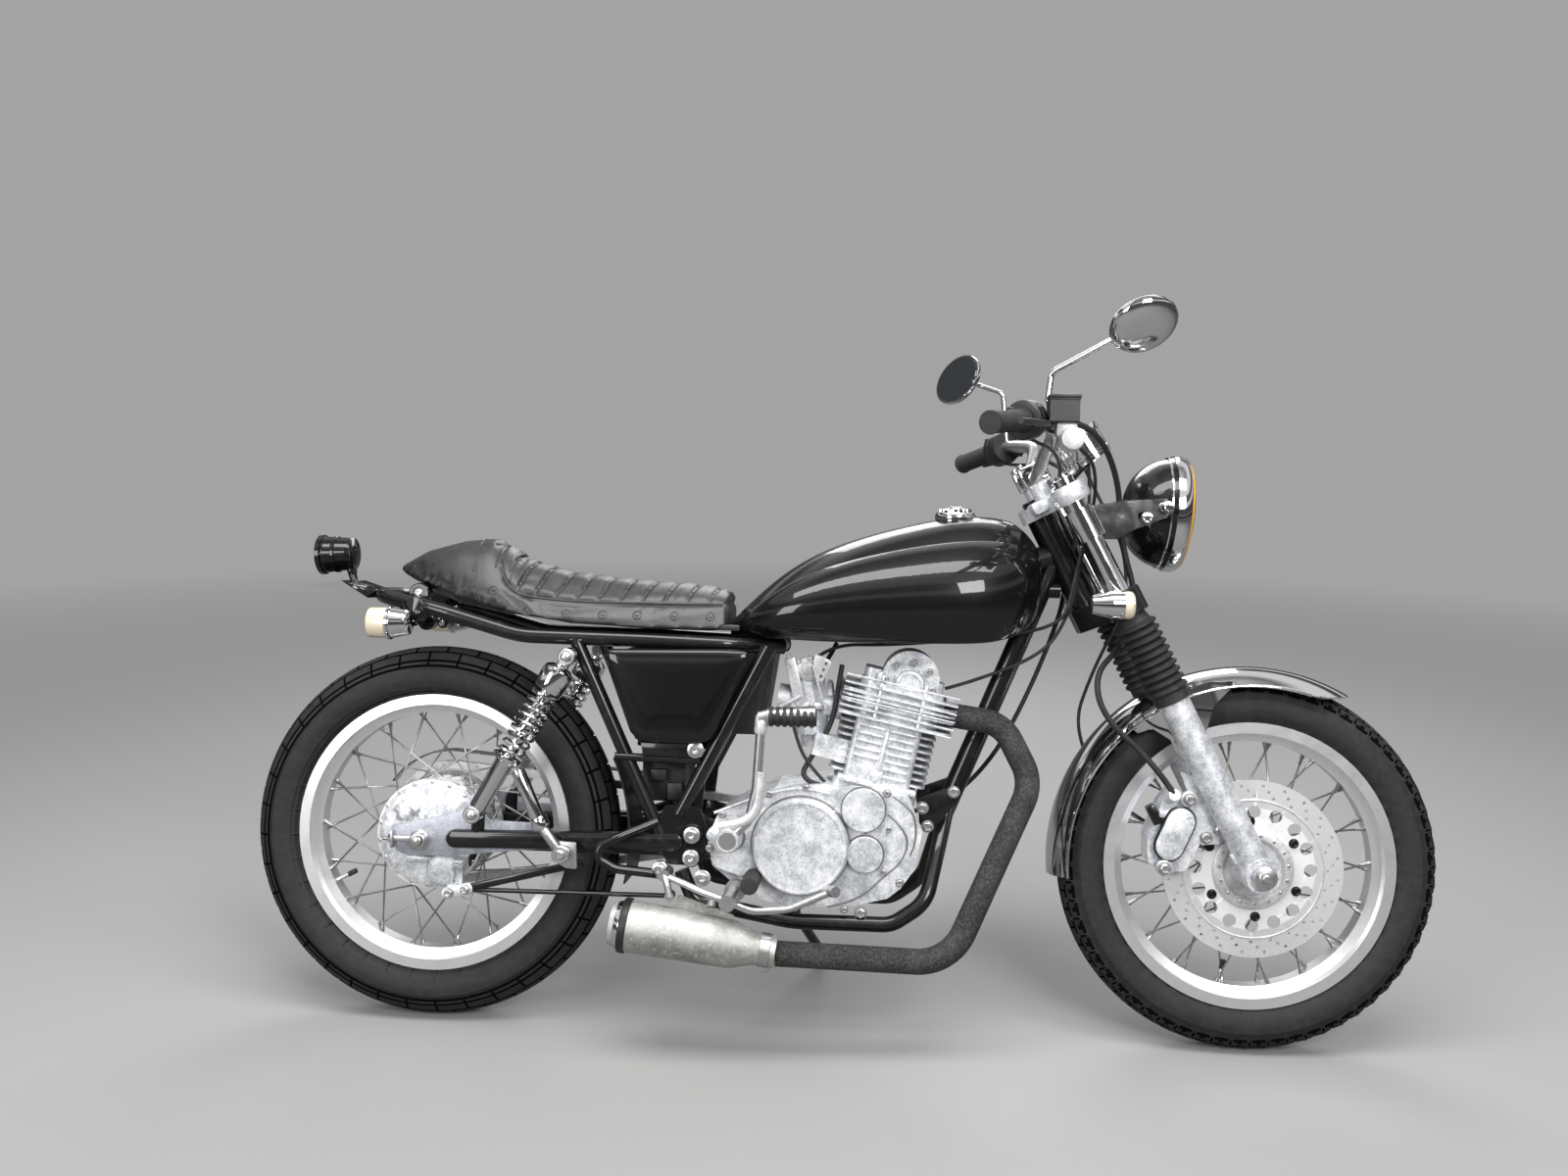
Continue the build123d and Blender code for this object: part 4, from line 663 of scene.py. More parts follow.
def plate(name, outline, near_y, far_y, bevel=0.0, corner=0.0):
    """A plate that stands fore and aft: an outline of X and Z, extruded across."""
    bpy.ops.mesh.primitive_circle_add(vertices=len(outline), radius=1, location=(0, 0, 0))
    part = named(name)
    for vertex, (x, z) in zip(part.data.vertices, outline):
        vertex.co = (x, near_y, z)
    edit(part)
    bpy.ops.mesh.select_all(action="SELECT")
    if corner:
        bpy.ops.mesh.bevel(offset=corner, segments=5, affect="VERTICES")
        bpy.ops.mesh.select_all(action="SELECT")
    bpy.ops.mesh.edge_face_add()
    bpy.ops.mesh.extrude_region_move()
    bpy.ops.transform.translate(value=(0, far_y - near_y, 0))
    bpy.ops.mesh.select_all(action="SELECT")
    bpy.ops.mesh.normals_make_consistent(inside=False)
    leave()
    if bevel:
        rounded(part, bevel)
    return part


def copy(part, turn_by=None, place=ORIGIN):
    """A copy with its own mesh, turned and moved as told."""
    only(part)
    bpy.ops.object.duplicate(linked=False)
    twin = named(part.name)
    move = Matrix.Translation(Vector(place))
    if turn_by is not None:
        move = move @ turn_by.to_matrix().to_4x4()
    twin.data.transform(move)
    return twin


# %% [markdown]
# A bolt head is a prism whose top is inset twice and pressed in, on a washer. It is modelled
# once, and each place gets a copy that is turned a little further, as real bolts are.

# %% Bolts
def bolt(name, radius=6.0, height=5.0, washer=True, dome=False):
    """A hexagon bolt head, or a socket screw, standing up from the origin."""
    bpy.ops.mesh.primitive_cylinder_add(vertices=20 if dome else 6, radius=radius, depth=height,
                                        location=(0, 0, height / 2 + 1))
    part = named(name)
    bpy.ops.object.transform_apply(location=True)
    edit(part)
    pick(part, lambda place, normal: normal.z > 0.9)
    bpy.ops.mesh.inset(thickness=radius * 0.14)
    bpy.ops.transform.translate(value=(0, 0, radius * 0.1))
    bpy.ops.mesh.inset(thickness=radius * 0.3)
    bpy.ops.transform.translate(value=(0, 0, -height * 0.5))
    leave()
    if washer:
        ring = turn(name + "_washer", ORIGIN, UP,
                    [(radius * 1.3, -0.5), (radius * 1.35, 0.4), (radius * 1.3, 1.2),
                     (radius, 1.4)], 20)
        part = joined(name, [part, ring])
    return part


def bolts(name, master, places):
    """Copies a bolt to each place, along each axis, and joins the copies."""
    made = []
    for number, (place, axis) in enumerate(places):
        made.append(copy(master, facing(axis, number * 0.7), place))
    return joined(name, made)


def discard(*parts):
    for part in parts:
        bpy.data.objects.remove(part, do_unlink=True)


def cut(target, tool):
    """Cuts a tool's shape out of a piece and throws the tool away."""
    modify(target, "BOOLEAN", object=tool, operation="DIFFERENCE", solver="EXACT")
    discard(tool)


print("bench ready")

# %% [markdown]
# ## Cables
# The front brake's hose, the speedometer's cable and the three control cables were routed
# with the machine. Each is one smooth spline through the route's own points.
# A cable that goes from the bar to the engine rides on no body and stays where it is laid.

# %% Routes
BAR_CENTRE = steered(14, 0, 750)


def bar_point(ahead, across, above):
    return BAR_CENTRE + Vector((ahead, across, above))


def fore(behind, across, height):
    """A point of the front end, given by its distance behind the front axle."""
    return Vector((WHEELBASE - behind, across, height))


def span(points):
    """The length of a line of points."""
    return sum((b - a).length for a, b in zip(points, points[1:]))


def cable_curve(name, route, radius):
    """One open NURBS spline of third order through a route, in the parked row frame."""
    curve = bpy.data.curves.new(name, "CURVE")
    curve.dimensions = "3D"
    curve.bevel_depth = radius * MM
    curve.bevel_resolution = 5
    curve.resolution_u = 16
    curve.use_fill_caps = True
    spline = curve.splines.new("NURBS")
    spline.points.add(len(route) - 1)
    for point, place in zip(spline.points, route):
        point.co = (*(PARKED @ (Vector(place) * MM)), 1)
    spline.order_u = 3
    spline.use_endpoint_u = True
    cable = bpy.data.objects.new(name, curve)
    bpy.context.scene.collection.objects.link(cable)
    return cable


def cable_path(cable):
    """The points that a cable's spline passes, in metres."""
    radius = cable.data.bevel_depth
    cable.data.bevel_depth = 0
    thread = bpy.data.meshes.new_from_object(cable)
    cable.data.bevel_depth = radius
    return [vertex.co.copy() for vertex in thread.vertices]


def cable(name, route, radius, node, body):
    """Lays a cable along its route, in place of its packed stand-in. With no body it stays where it
    is laid.
    """
    made = cable_curve(name, route, radius)
    path = cable_path(made)
    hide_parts(node)
    only(made)
    bpy.ops.object.convert(target="MESH")
    made = named(name)
    if body is None:
        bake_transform(made)
    else:
        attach(made, body)
    finish(made, "rubber")
    span(path)
    2 * radius * MM
    print(name, round(span(path), 3), "m")


cable("brake_hose_line", [
    bar_point(38, -210, 76), bar_point(80, -190, 72), fore(236, -66, 968), fore(228, -40, 870),
    fore(193, -36, 756), fore(226, -40, 680), fore(276, -106, 640), fore(262, -112, 570),
    fore(176, -106, 496), fore(140, -100, 444),
], 5, "brake_hose", "steering")
cable("speedometer_line", [
    fore(279, 46, 998), fore(240, 44, 920), fore(204, 40, 850), fore(200, 44, 750),
    fore(250, 78, 640), fore(286, 90, 520), fore(180, 92, 360), fore(28, 67, 322),
], 3, "speedometer_cable", "steering")
cable("throttle_line", [
    bar_point(2, -196, 66), bar_point(75, -160, 42), fore(270, -62, 950), fore(290, -50, 860),
    fore(307, -48, 780), fore(318, -46, 726), fore(390, -28, 700), (800, -27, 676),
    (690, -27, 676), (657, -18, 640),
], 3, "control_cables", None)
cable("meter_line", [
    fore(284, -38, 1000), fore(276, -38, 930), fore(298, -38, 790), fore(314, -38, 730),
    fore(352, -40, 668), fore(470, -34, 618), (892, -30, 604),
], 3, "control_cables", None)
cable("clutch_line", [
    bar_point(14, 190, 66), bar_point(75, 150, 40), fore(272, 62, 948), fore(292, 50, 860),
    fore(308, 48, 780), fore(316, 46, 730), fore(365, 44, 600), fore(430, 46, 470),
    (890, 74, 380), (846, 92, 372),
], 4, "control_cables", None)

# %% [markdown]
# ## Seat
# The cover is swollen like real padding: a copy of the seat's form is remeshed, pressed out
# by a short cloth simulation, and held back along the frame. Then the sewn channels are
# drawn in: each rib is a half round between two seams, and the piping ends them all.

# %% Swelling the pad
SEAT_CAP = 7
PRESSURE = 4
LAST_FRAME = 20


def upright_copy(node, name):
    """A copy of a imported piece, set upright again, with its triangles joined."""
    source = nodes[node]
    twin = bpy.data.objects.new(name, source.data.copy())
    bpy.context.scene.collection.objects.link(twin)
    twin.data.transform(PARKED.inverted() @ source.matrix_world)
    edit(twin)
    bpy.ops.mesh.select_all(action="SELECT")
    bpy.ops.mesh.remove_doubles(threshold=0.0001)
    leave()
    return twin


def swell(pad, held, cap):
    """Presses a closed pad outwards with air; the held points stay where they are."""
    rest = [vertex.co.copy() for vertex in pad.data.vertices]
    group = pad.vertex_groups.new(name="held")
    group.add([vertex.index for vertex in pad.data.vertices if held(vertex.co)], 1.0, "REPLACE")
    only(pad)
    cloth = pad.modifiers.new("swell", "CLOTH")
    cloth.settings.use_pressure = True
    cloth.settings.uniform_pressure_force = PRESSURE
    cloth.settings.effector_weights.gravity = 0
    cloth.settings.vertex_group_mass = "held"
    cloth.point_cache.frame_start = 1
    cloth.point_cache.frame_end = LAST_FRAME
    for number in range(1, LAST_FRAME + 1):
        bpy.context.scene.frame_set(number)
    bpy.ops.object.modifier_apply(modifier="swell")
    bpy.context.scene.frame_set(1)
    for vertex, start in zip(pad.data.vertices, rest):
        move = vertex.co - start
        if move.length > cap:
            vertex.co = start + move * (cap / move.length)


seat = upright_copy("seat", "seat_cover")
modify(seat, "REMESH", mode="VOXEL", voxel_size=0.005)
modify(seat, "SMOOTH", factor=0.5, iterations=5)
swell(seat, lambda point: point.z < 0.715 or abs(point.y) < 0.03 and point.z < 0.735,
      SEAT_CAP * MM)
modify(seat, "SUBSURF", levels=1, render_levels=1)
seat.data.transform(Matrix.Scale(1000, 4))
print("seat cover:", len(seat.data.polygons), "faces")

# %% [markdown]
# Fourteen seams make thirteen ribs across the seat. The seams stand further back at the
# sides than in the middle, and the ribs run out at the piping. Sculpting this by hand would
# be uneven, so each vertex is moved along its own normal by a height that is worked out.

# %% Sewn channels
RIB_SEAMS = [101, 121, 146, 173, 204, 239, 275, 312, 349, 386, 423, 460, 497, 530]
PIPING = [(117, 838), (120, 803), (127, 782), (142, 763), (161, 752), (182, 748), (216, 745),
          (250, 743), (290, 742), (368, 742), (438, 742), (520, 744)]
SEAM_DEPTH = 6.5
RIB_CROWN = 3.0
FADE_HEIGHT = 16
TUCK_REACH = 9
TUCK_DEPTH = 3.5


def table(points, x):
    """A height read from a table of points."""
    if x <= points[0][0]:
        return points[0][1]
    for (x0, z0), (x1, z1) in zip(points, points[1:]):
        if x <= x1:
            return z0 + (z1 - z0) * (x - x0) / (x1 - x0)
    return points[-1][1]


def rib_height(x, y):
    """How far a rib stands up at a point: 1 on its crown, 0 in its seams, None past them."""
    along = x + 20 * (y / 105) ** 2 if x > 140 else x + 4
    for low, high in zip(RIB_SEAMS, RIB_SEAMS[1:]):
        if low <= along < high:
            share = 2 * (along - low) / (high - low) - 1
            return math.sqrt(max(0.0, 1 - share ** 4))
    return None


def sew_channels():
    seat.data.update()
    normals = [vertex.normal.copy() for vertex in seat.data.vertices]
    for vertex, normal in zip(seat.data.vertices, normals):
        x, y, z = vertex.co
        above = z - table(PIPING, x)
        if x < 101 or above < -8:
            continue
        height = rib_height(x, y)
        if height is None:
            continue
        fade = math.sqrt(min(1.0, max(0.0, above / FADE_HEIGHT)))
        tuck = max(0.0, 1 - abs(above) / TUCK_REACH)
        puff = (RIB_CROWN + SEAM_DEPTH) * height - SEAM_DEPTH
        vertex.co += normal * (puff * fade - TUCK_DEPTH * tuck * (1 - 0.6 * fade))


sew_channels()
modify(seat, "SMOOTH", factor=0.4, iterations=1)
print(len(RIB_SEAMS) - 1, "ribs sewn")


def on_seat(start, towards):
    """Where a ray meets the seat's cover."""
    hit, place, normal, _ = seat.ray_cast(Vector(start), Vector(towards).normalized())
    return (place, normal) if hit else (None, None)


def seat_seam(name, points, radius, side, lift=0.6):
    """A line of piping laid on the side of the seat."""
    places = []
    for x, z in points:
        place, normal = on_seat((x, side * 300, z), (0, -side, 0))
        if place is not None:
            places.append(place + normal * lift)
    return line(name, places, radius, 3)


# %% [markdown]
# Piping hides the seam where two pieces of leather meet, and studs hold the cover to its
# base. Both lie on a swollen surface, so rays are shot at the seat to find where they rest.

# %% Piping, hump seams and studs
def thicken(points, step=12):
    """The same line of points, with more of them."""
    out = []
    for (x0, z0), (x1, z1) in zip(points, points[1:]):
        count = max(1, int(math.hypot(x1 - x0, z1 - z0) / step))
        out += [(x0 + (x1 - x0) * k / count, z0 + (z1 - z0) * k / count) for k in range(count)]
    return out + [points[-1]]


def seam_over(x, reach, turn_by, radius):
    """A seam over the top of the seat, found by rays from all round its middle line."""
    places = []
    for step in range(-reach, reach + 1):
        tilt = math.radians(step * turn_by)
        place, normal = on_seat((x, 200 * math.sin(tilt), 780 + 200 * math.cos(tilt)),
                                (0, -math.sin(tilt), -math.cos(tilt)))
        if place is not None:
            places.append(place + normal * 0.2)
    return line("seat_seam", places, radius, 3)


SIDE_PIPING = [(119, 818), (121, 803), (127, 783), (142, 762), (161, 750), (182, 746), (216, 743),
               (250, 741), (290, 740), (368, 740), (438, 740), (508, 741)]
HUMP_SEAM = [(74, 832), (76, 806), (82, 773), (92, 735)]
seams = []
for side in SIDES:
    seams.append(seat_seam("seat_seam", thicken(SIDE_PIPING), 1.9, side))
    seams.append(seat_seam("seat_seam", thicken(HUMP_SEAM), 1.6, side, 0.2))
seams.append(seam_over(74, 12, 7, 1.6))
seams.append(seam_over(112, 13, 6, 1.8))
piping = joined("seat_piping", seams)

STUDS = [(116, 757), (178, 722), (246, 720), (308, 719), (367, 720), (430, 720), (490, 720)]
stud_places = []
for side in SIDES:
    for x, z in STUDS:
        place, normal = on_seat((x, side * 300, z), (0, -side, 0))
        if place is not None:
            stud_places.append((place - normal * 0.4, normal))
stud = turn("stud", ORIGIN, UP,
            [(8.6, 0), (8.4, 1.1), (6.8, 1.6), (6.0, 0.9), (3.4, 0.9), (3.0, 2.2), (1.4, 2.6)], 20)
studs = bolts("seat_studs", stud, stud_places)
discard(stud)


# %% [markdown]
# Old leather is dark grey, paler where it is rubbed, with a fine grain and small creases.
# The grain comes from cells and the wear from a slow noise; the grain and the creases go into the
# bump.

# %% Leather
def leather():
    shader = Shader("grey_leather", (0.04, 0.04, 0.042), 0.4, 0.0, Specular_IOR_Level=0.8)
    wear = shader.noise(20, 6, 0.65)
    grain = shader.cells(620)
    creases = shader.noise(120, 4, 0.7)
    worn = shader.blend(wear.above(0.5, 0.2), (0.009, 0.009, 0.01), (0.026, 0.026, 0.027))
    shader.set("Base Color", shader.blend(creases.above(0.66, 0.05) * 0.4, worn,
                                          (0.12, 0.12, 0.12)))
    shader.set("Roughness", 0.34 + wear * 0.2)
    shader.bump(grain * 0.6 + creases, 0.0005, 0.6)
    return shader.material


FINISHES["leather"] = leather()
park(seat, "chassis", "leather", 180)
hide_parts("seat")
park(piping, "chassis", "leather", 60)
park(studs, "chassis", "leather", 40)

# %% [markdown]
# ## Tyres
# A tyre's tread repeats. One pitch of it is spun from the tyre's section. Each block is an
# inset of a few faces, scaled out from the axle, and then the pitch is spun round the wheel.

# %% Tread
def in_groove(axle, half_section, depth, edge):
    """A test for the faces at the bottom of the tread's grooves, which get painted shade."""
    def test(p):
        across, radius = abs(p.y), math.hypot(p.x - axle.x, p.z - axle.z)
        for (y0, r0), (y1, r1) in zip(half_section, half_section[1:]):
            if y0 <= across < y1 and across < edge:
                surface = r0 + (r1 - r0) * (across - y0) / (y1 - y0)
                return surface - 1.5 < radius < surface + depth * 0.75
        return False
    return test


def tyre(name, place, body, node, half_section, depth, pitches, rows, zigzag):
    """A tyre round the Y axis. rows: inner and outer half width, and the groove's column."""
    columns = 8
    pitch = math.tau / pitches
    profile = [(-y, r) for y, r in reversed(half_section) if y > 0] + half_section
    bpy.ops.mesh.primitive_circle_add(vertices=len(profile), radius=1)
    part = named(name)
    for vertex, (y, r) in zip(part.data.vertices, profile):
        vertex.co = (0, y, r)
    edit(part)
    mesh = bmesh.from_edit_mesh(part.data)
    bmesh.ops.delete(mesh, geom=[edge for edge in mesh.edges if edge.calc_length() > 60],
                     context="EDGES")
    bmesh.update_edit_mesh(part.data)
    bpy.ops.mesh.select_all(action="SELECT")
    bpy.ops.mesh.spin(steps=columns, angle=pitch, center=(0, 0, 0), axis=(0, 1, 0))

    def cell(place):
        return abs(place.y), (-math.atan2(place.x, place.z) % math.tau) / pitch * columns

    mesh = bmesh.from_edit_mesh(part.data)
    for vertex in mesh.verts:
        y, column = cell(vertex.co)
        if zigzag and 8 < y < half_section[-1][0] + 30 and y < rows[-1][1] + 0.5:
            swing = zigzag * math.sin(math.tau * column / columns)
            vertex.co.y += swing if vertex.co.y > 0 else -swing
    bmesh.update_edit_mesh(part.data)
    for inner, outer, groove, lift in rows:
        sides = (0,) if inner == 0 else (-1, 1)
        for side in sides:
            cut = groove if side <= 0 else (groove + 4) % columns
            for low, high in ((0, cut), (cut, columns)):
                def inside(spot, normal):
                    y, column = cell(spot)
                    same_side = side == 0 or spot.y * side > 0
                    return inner < y < outer and low < column < high and same_side
                pick(part, inside)
                bpy.ops.mesh.inset(thickness=2.1, use_boundary=False)
                grow = 1 + depth * lift / half_section[0][1]
                bpy.ops.transform.resize(value=(grow, 1 + 0.05 * (1 - lift), grow),
                                         center_override=(0, 0, 0))
    bpy.ops.mesh.select_all(action="SELECT")
    bpy.ops.mesh.spin(steps=pitches - 1, dupli=True, angle=math.tau - pitch, center=(0, 0, 0),
                      axis=(0, 1, 0))
    close_up(0.06)
    leave()
    part.data.transform(Matrix.Translation(place))
    park(part, body, "tyre", 28)
    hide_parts(node)
    # The bottoms of the grooves get painted shade.
    second_finish(part, "groove", in_groove(place, half_section, depth, rows[-1][1]))


REAR_AXLE = Vector((0, 0, REAR_TYRE_R))
FRONT_AXLE = Vector((WHEELBASE, 0, FRONT_TYRE_R))
REAR_SECTION = [(0, 322.4), (11, 321.6), (20, 318.8), (30, 313.6), (38, 307), (45, 299.6),
                (49.5, 292), (54.6, 286), (56, 277), (54.6, 266), (50, 256), (44, 250.5),
                (37.2, 246), (34.6, 243.9), (33.6, 240), (33.4, 229.6)]
REAR_ROWS = [(0, 11, 2, 1), (11, 30, 6, 1), (30, 45, 2, 1), (45, 49.5, 2, 0.8)]
FRONT_SECTION = [(0, 313.6), (9, 312.8), (17, 310.3), (25, 306), (31, 301.2), (37, 295),
                 (41, 289), (45.6, 283), (47, 274), (46, 264), (43, 255), (39, 249.4),
                 (36.4, 246), (34.6, 243.9), (33.6, 240), (33.4, 229.6)]
FRONT_ROWS = [(0, 9, 2, 1), (9, 25, 6, 1), (25, 37, 2, 1)]
tyre("rear_tread", REAR_AXLE, "rear_wheel", "rear_tyre", REAR_SECTION, 4.4, 36, REAR_ROWS, 0)
tyre("front_tread", FRONT_AXLE, "front_wheel", "front_tyre", FRONT_SECTION, 4.2, 60, FRONT_ROWS,
     1.2)

# %% [markdown]
# ## Engine
# The castings are packed. What is added is what the foundry and the fitter leave on them:
# rims and screws on the covers, the webs between the fins, the slots of the chain tunnel,
# the rubber of the kick lever and the linkage of the carburettor.

# %% Places on the tilted cylinder
CYLINDER_TILT = math.radians(12)
CYLINDER_FOOT = Vector((775, 0, 438))
ALONG = Vector((math.cos(CYLINDER_TILT), 0, -math.sin(CYLINDER_TILT)))
RISING = Vector((math.sin(CYLINDER_TILT), 0, math.cos(CYLINDER_TILT)))


def cylinder_point(along, across, up):
    return CYLINDER_FOOT + ALONG * along + Vector((0, across, 0)) + RISING * up


def bar(name, place, size, axes=None, bevel=0.8):
    """A rounded block of a size, centred on a place, along given axes."""
    bpy.ops.mesh.primitive_cube_add(size=1)
    part = named(name)
    along, across, up = axes or (Vector((1, 0, 0)), Vector((0, 1, 0)), Vector((0, 0, 1)))
    grid = Matrix((along, across, up)).transposed().to_4x4()
    part.data.transform(Matrix.Translation(place) @ grid @ Matrix.Diagonal((*size, 1)))
    if bevel:
        rounded(part, bevel)
    return part


TILTED = (ALONG, LEFT, RISING)

# %% [markdown]
# Two kinds of screw hold the covers: hexagons round the case, and round sockets between
# the small covers. One master of each is enough for the whole machine.

# %% Screws of the right covers
CASE_FACE = -112
HEX = bolt("hexagon_screw", 5.4, 5)
SOCKET = bolt("socket_screw", 4.6, 5, washer=False, dome=True)
case_screws = [(598, 425), (660, 437), (560, 286), (500, 330), (728, 236), (820, 284), (796, 432),
               (646, 236), (520, 388)]
cover_screws = [(708, 396), (762, 366), (727, 404), (800, 372), (792, 300)]
hexagons = bolts("case_screws", HEX, [((x, CASE_FACE, z), RIGHT) for x, z in case_screws])
sockets = bolts("cover_screws", SOCKET, [((x, CASE_FACE, z), RIGHT) for x, z in cover_screws])
park(joined("engine_screws", [hexagons, sockets]), "chassis", "steel")

# %% [markdown]
# Each round cover has a turned rim that catches light, and sits on a dark ring of painted
# shade that draws its outline. The case's seams are raised lines, so they are thin rods laid on
# its face; the dark rods along the other seams are painted shade.

# %% Rims and plates of the covers
def case_seam(points, radius):
    """A thin line on the right face of the case."""
    return line("cover_seam", [(x, CASE_FACE, z) for x, z in points], radius)


rims = []
for x, z, radius in ((757, 404, 35), (761, 330, 29)):
    rims.append(turn("cover_rim", (x, -118, z), RIGHT,
                     [(radius + 1, 0), (radius + 1, 4.4), (radius - 1.6, 5.2), (radius - 4.6, 5.2),
                      (radius - 6, 3.6), (radius - 6, 0)], 48, closed=True))
rims.append(turn("clutch_rim", (653, -136, 340), RIGHT,
                 [(77.5, 0), (77, 1.6), (74.5, 2.2), (72.6, 1.8), (72, 0)], 72, closed=True))
rims.append(case_seam([(506, 390), (560, 412), (610, 430), (660, 438), (700, 428)], 2.4))
rims.append(plate("gear_shaft_boss", [(492, 352), (500, 340), (524, 330), (524, 372), (500, 366)],
                  -116, -106, 2, 5))
park(joined("cover_rims", rims), "chassis", "cast")
# Dark rings at the covers' feet and dark lines along the case's seams are painted shade.
shade_rings = []
for x, z, radius in ((653, 340, 81), (757, 404, 35), (761, 330, 29)):
    shade_rings.append(turn("shade_ring", (x, -111, z), RIGHT,
                        [(radius - 1, 0), (radius + 3.6, 0), (radius + 3, 1.6), (radius - 1, 2)],
                        64, closed=True))
shade_rings.append(turn("shade_ring", (537, -111, 350), RIGHT,
                    [(19, 0), (23, 0), (22.6, 1.8), (19, 2)], 48, closed=True))
shade_rings.append(case_seam([(798, 398), (820, 380), (834, 352), (822, 318), (790, 290), (748, 250),
                          (700, 239)], 1.6))
shade_rings.append(case_seam([(806, 428), (836, 410), (846, 380), (844, 346), (836, 330)], 1.6))
park(joined("cover_shade_lines", shade_rings), "chassis", "spoke")

# %% [markdown]
# Cooling fins are cast with webs between them to stop them ringing. The webs and lips are
# small rounded blocks, set out along the tilted cylinder's own axes.

# %% Fins, webs and the chain tunnel
webs = []
for along in (-32, 42):
    for step in range(6):
        webs.append(bar("head_web", cylinder_point(along + 4, -99, 116 + step * 13.2),
                        (4, 3.2, 12.4), TILTED, 0.6))
for step in range(6):
    webs.append(bar("fin_lip", cylinder_point(8, -98.6, 112 + step * 13.2),
                    (194, 2.4, 2.6), TILTED, 0.5))
for step in range(7):
    up = 12 + step * 13
    for low, high in ((-50, -3), (3, 50)):
        if step > 1 or low > 0:
            webs.append(bar("tunnel_fin", cylinder_point((low + high) / 2, -83, up + 8),
                            (high - low - 4, 5, 4.6), TILTED, 1.4))
webs.append(bar("tunnel_web", cylinder_point(0, -84, 52), (5, 5, 86), TILTED, 1.4))
webs.append(bar("tunnel_foot", cylinder_point(0, -84, 16), (16, 7, 22), TILTED, 2))
webs.append(bar("base_flange", cylinder_point(2, 0, 3), (136, 172, 9), TILTED, 2))
park(joined("cylinder_webs", webs), "chassis", "cast")

# %% [markdown]
# The cover's screws stand round a half circle, each on its own boss, with a turned cap in
# the middle. Sines and cosines place the bosses, and pillars join the cover to the head.

# %% Camshaft cover
CAM_ANGLES = range(-90, 91, 45)


def cam_screw(angle, across):
    turned = math.radians(angle)
    return cylinder_point(18 + 40 * math.sin(turned), across, 182 + 40 * math.cos(turned))


cover = [turn("cap_boss", cam_screw(angle, -70), RIGHT, [(6.6, 0), (6.6, 7), (5.4, 8.2)], 20)
         for angle in CAM_ANGLES]
cover.append(turn("cam_cap", cylinder_point(18, -70, 182), RIGHT,
                  [(25, 0), (25, 5), (23, 8), (19, 8.6), (17, 7), (6, 6.6)], 56))
for along, up, size in ((-34, 172, (9, 10, 40)), (-18, 168, (8, 10, 34)), (58, 166, (9, 10, 36)),
                        (70, 160, (7, 10, 26))):
    cover.append(bar("cover_pillar", cylinder_point(along, -66, up), size, TILTED, 2.4))
park(joined("cam_cover_details", cover), "chassis", "cast")
cam_screws = bolts("cam_screws", SOCKET, [(cam_screw(angle, -78), RIGHT) for angle in CAM_ANGLES])
park(cam_screws, "chassis", "steel")

# %% [markdown]
# A kick lever's arm is forged: broad at its shaft, thin at its knuckle. A thick bent rod
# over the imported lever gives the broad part, and turned rings end it at both joints.

# %% Kick lever's broad arm
kick = [
    line("kick_arm", [(589, -175, 470), (588, -175, 436), (583, -174, 408), (568, -173, 390),
                      (546, -173, 381), (522, -173, 378)], 9.5, 6),
    turn("kick_knuckle", (588, -176, 552), (0.1, 0, 1),
         [(9, -20), (10.6, -16), (10.6, 8), (8, 12)], 28),
    turn("kick_hub", (537, -176, 356), RIGHT,
         [(19, -16), (19.4, 8), (18, 10.6), (14.6, 10.6), (13.8, 8.4), (6, 8.4), (5, 9.8),
          (2, 9.8)], 44),
]
park(joined("kick_arm", kick), "chassis", "hub")

# %% [markdown]
# The rubbers of the pegs and levers have raised rings for grip. A lathe profile that steps
# in and out makes them all, with the number of rings as its one difference.

# %% Foot rubbers
def ribbed(name, start, end, radius, ribs, depth=2.2):
    """A rubber sleeve with ribs round it."""
    run = (Vector(end) - Vector(start)).length
    steps = [(radius - depth, 0)]
    for rib in range(ribs):
        low = run * rib / ribs
        high = run * (rib + 0.6) / ribs
        top = run * (rib + 1) / ribs
        steps += [(radius - depth, low + 0.2), (radius, low + 1), (radius, high),
                  (radius - depth, high + 0.8), (radius - depth, top)]
    return turn(name, start, Vector(end) - Vector(start), steps, 32)


rubbers = [
    ribbed("kick_rubber", (600, -176, 561), (678, -176, 561), 16.5, 7),
    ribbed("peg_rubber", (575, -118, 286), (575, -196, 286), 14.5, 9),
    ribbed("peg_rubber", (575, 118, 286), (575, 196, 286), 14.5, 9),
    ribbed("shift_rubber", (693, 122, 318), (693, 158, 318), 8, 5, 1.2),
]
park(joined("foot_rubbers", rubbers), "chassis", "rubber")

# %% [markdown]
# A carburettor is a casting with a drum, a bowl, two clamps and an open linkage. It is built
# as on a bench, from turned and squared parts, and the quadrant is drilled three times.

# %% Carburettor
CARB_AXES = (Vector((0.97, 0, 0.24)), LEFT, Vector((-0.24, 0, 0.97)))
carb = [
    bar("carb_arm", (634, -52, 612), (19, 12, 82), CARB_AXES, 2),
    bar("carb_deck", (655, -46, 570), (62, 20, 12), None, 3),
    turn("carb_drum", (657, -48, 634), RIGHT,
         [(21, 0), (21, 7), (18, 9), (11, 9), (10, 12), (4, 13)], 40),
    turn("intake_flange", (690, 0, 582), (1, 0, 0.1), [(24, 0), (30, 2), (30, 9), (24, 11)], 40),
    turn("intake_flange", (712, 0, 585), (1, 0, 0.1), [(24, 0), (33, 2), (33, 8), (24, 10)], 40),
    rod("carb_link", (664, -64, 640), (688, -64, 566), 2.2, 12),
    rod("carb_link", (606, -64, 566), (646, -64, 588), 3.4, 12),
    bar("carb_bowl", (648, -20, 556), (48, 62, 26), None, 6),
    bar("float_drain", (648, -20, 538), (20, 20, 14), None, 4),
]
quadrant = plate("carb_quadrant",
                 [(668, 660), (694, 650), (697, 642), (682, 612), (673, 612), (664, 634)],
                 -66, -62, 0.6, 4)
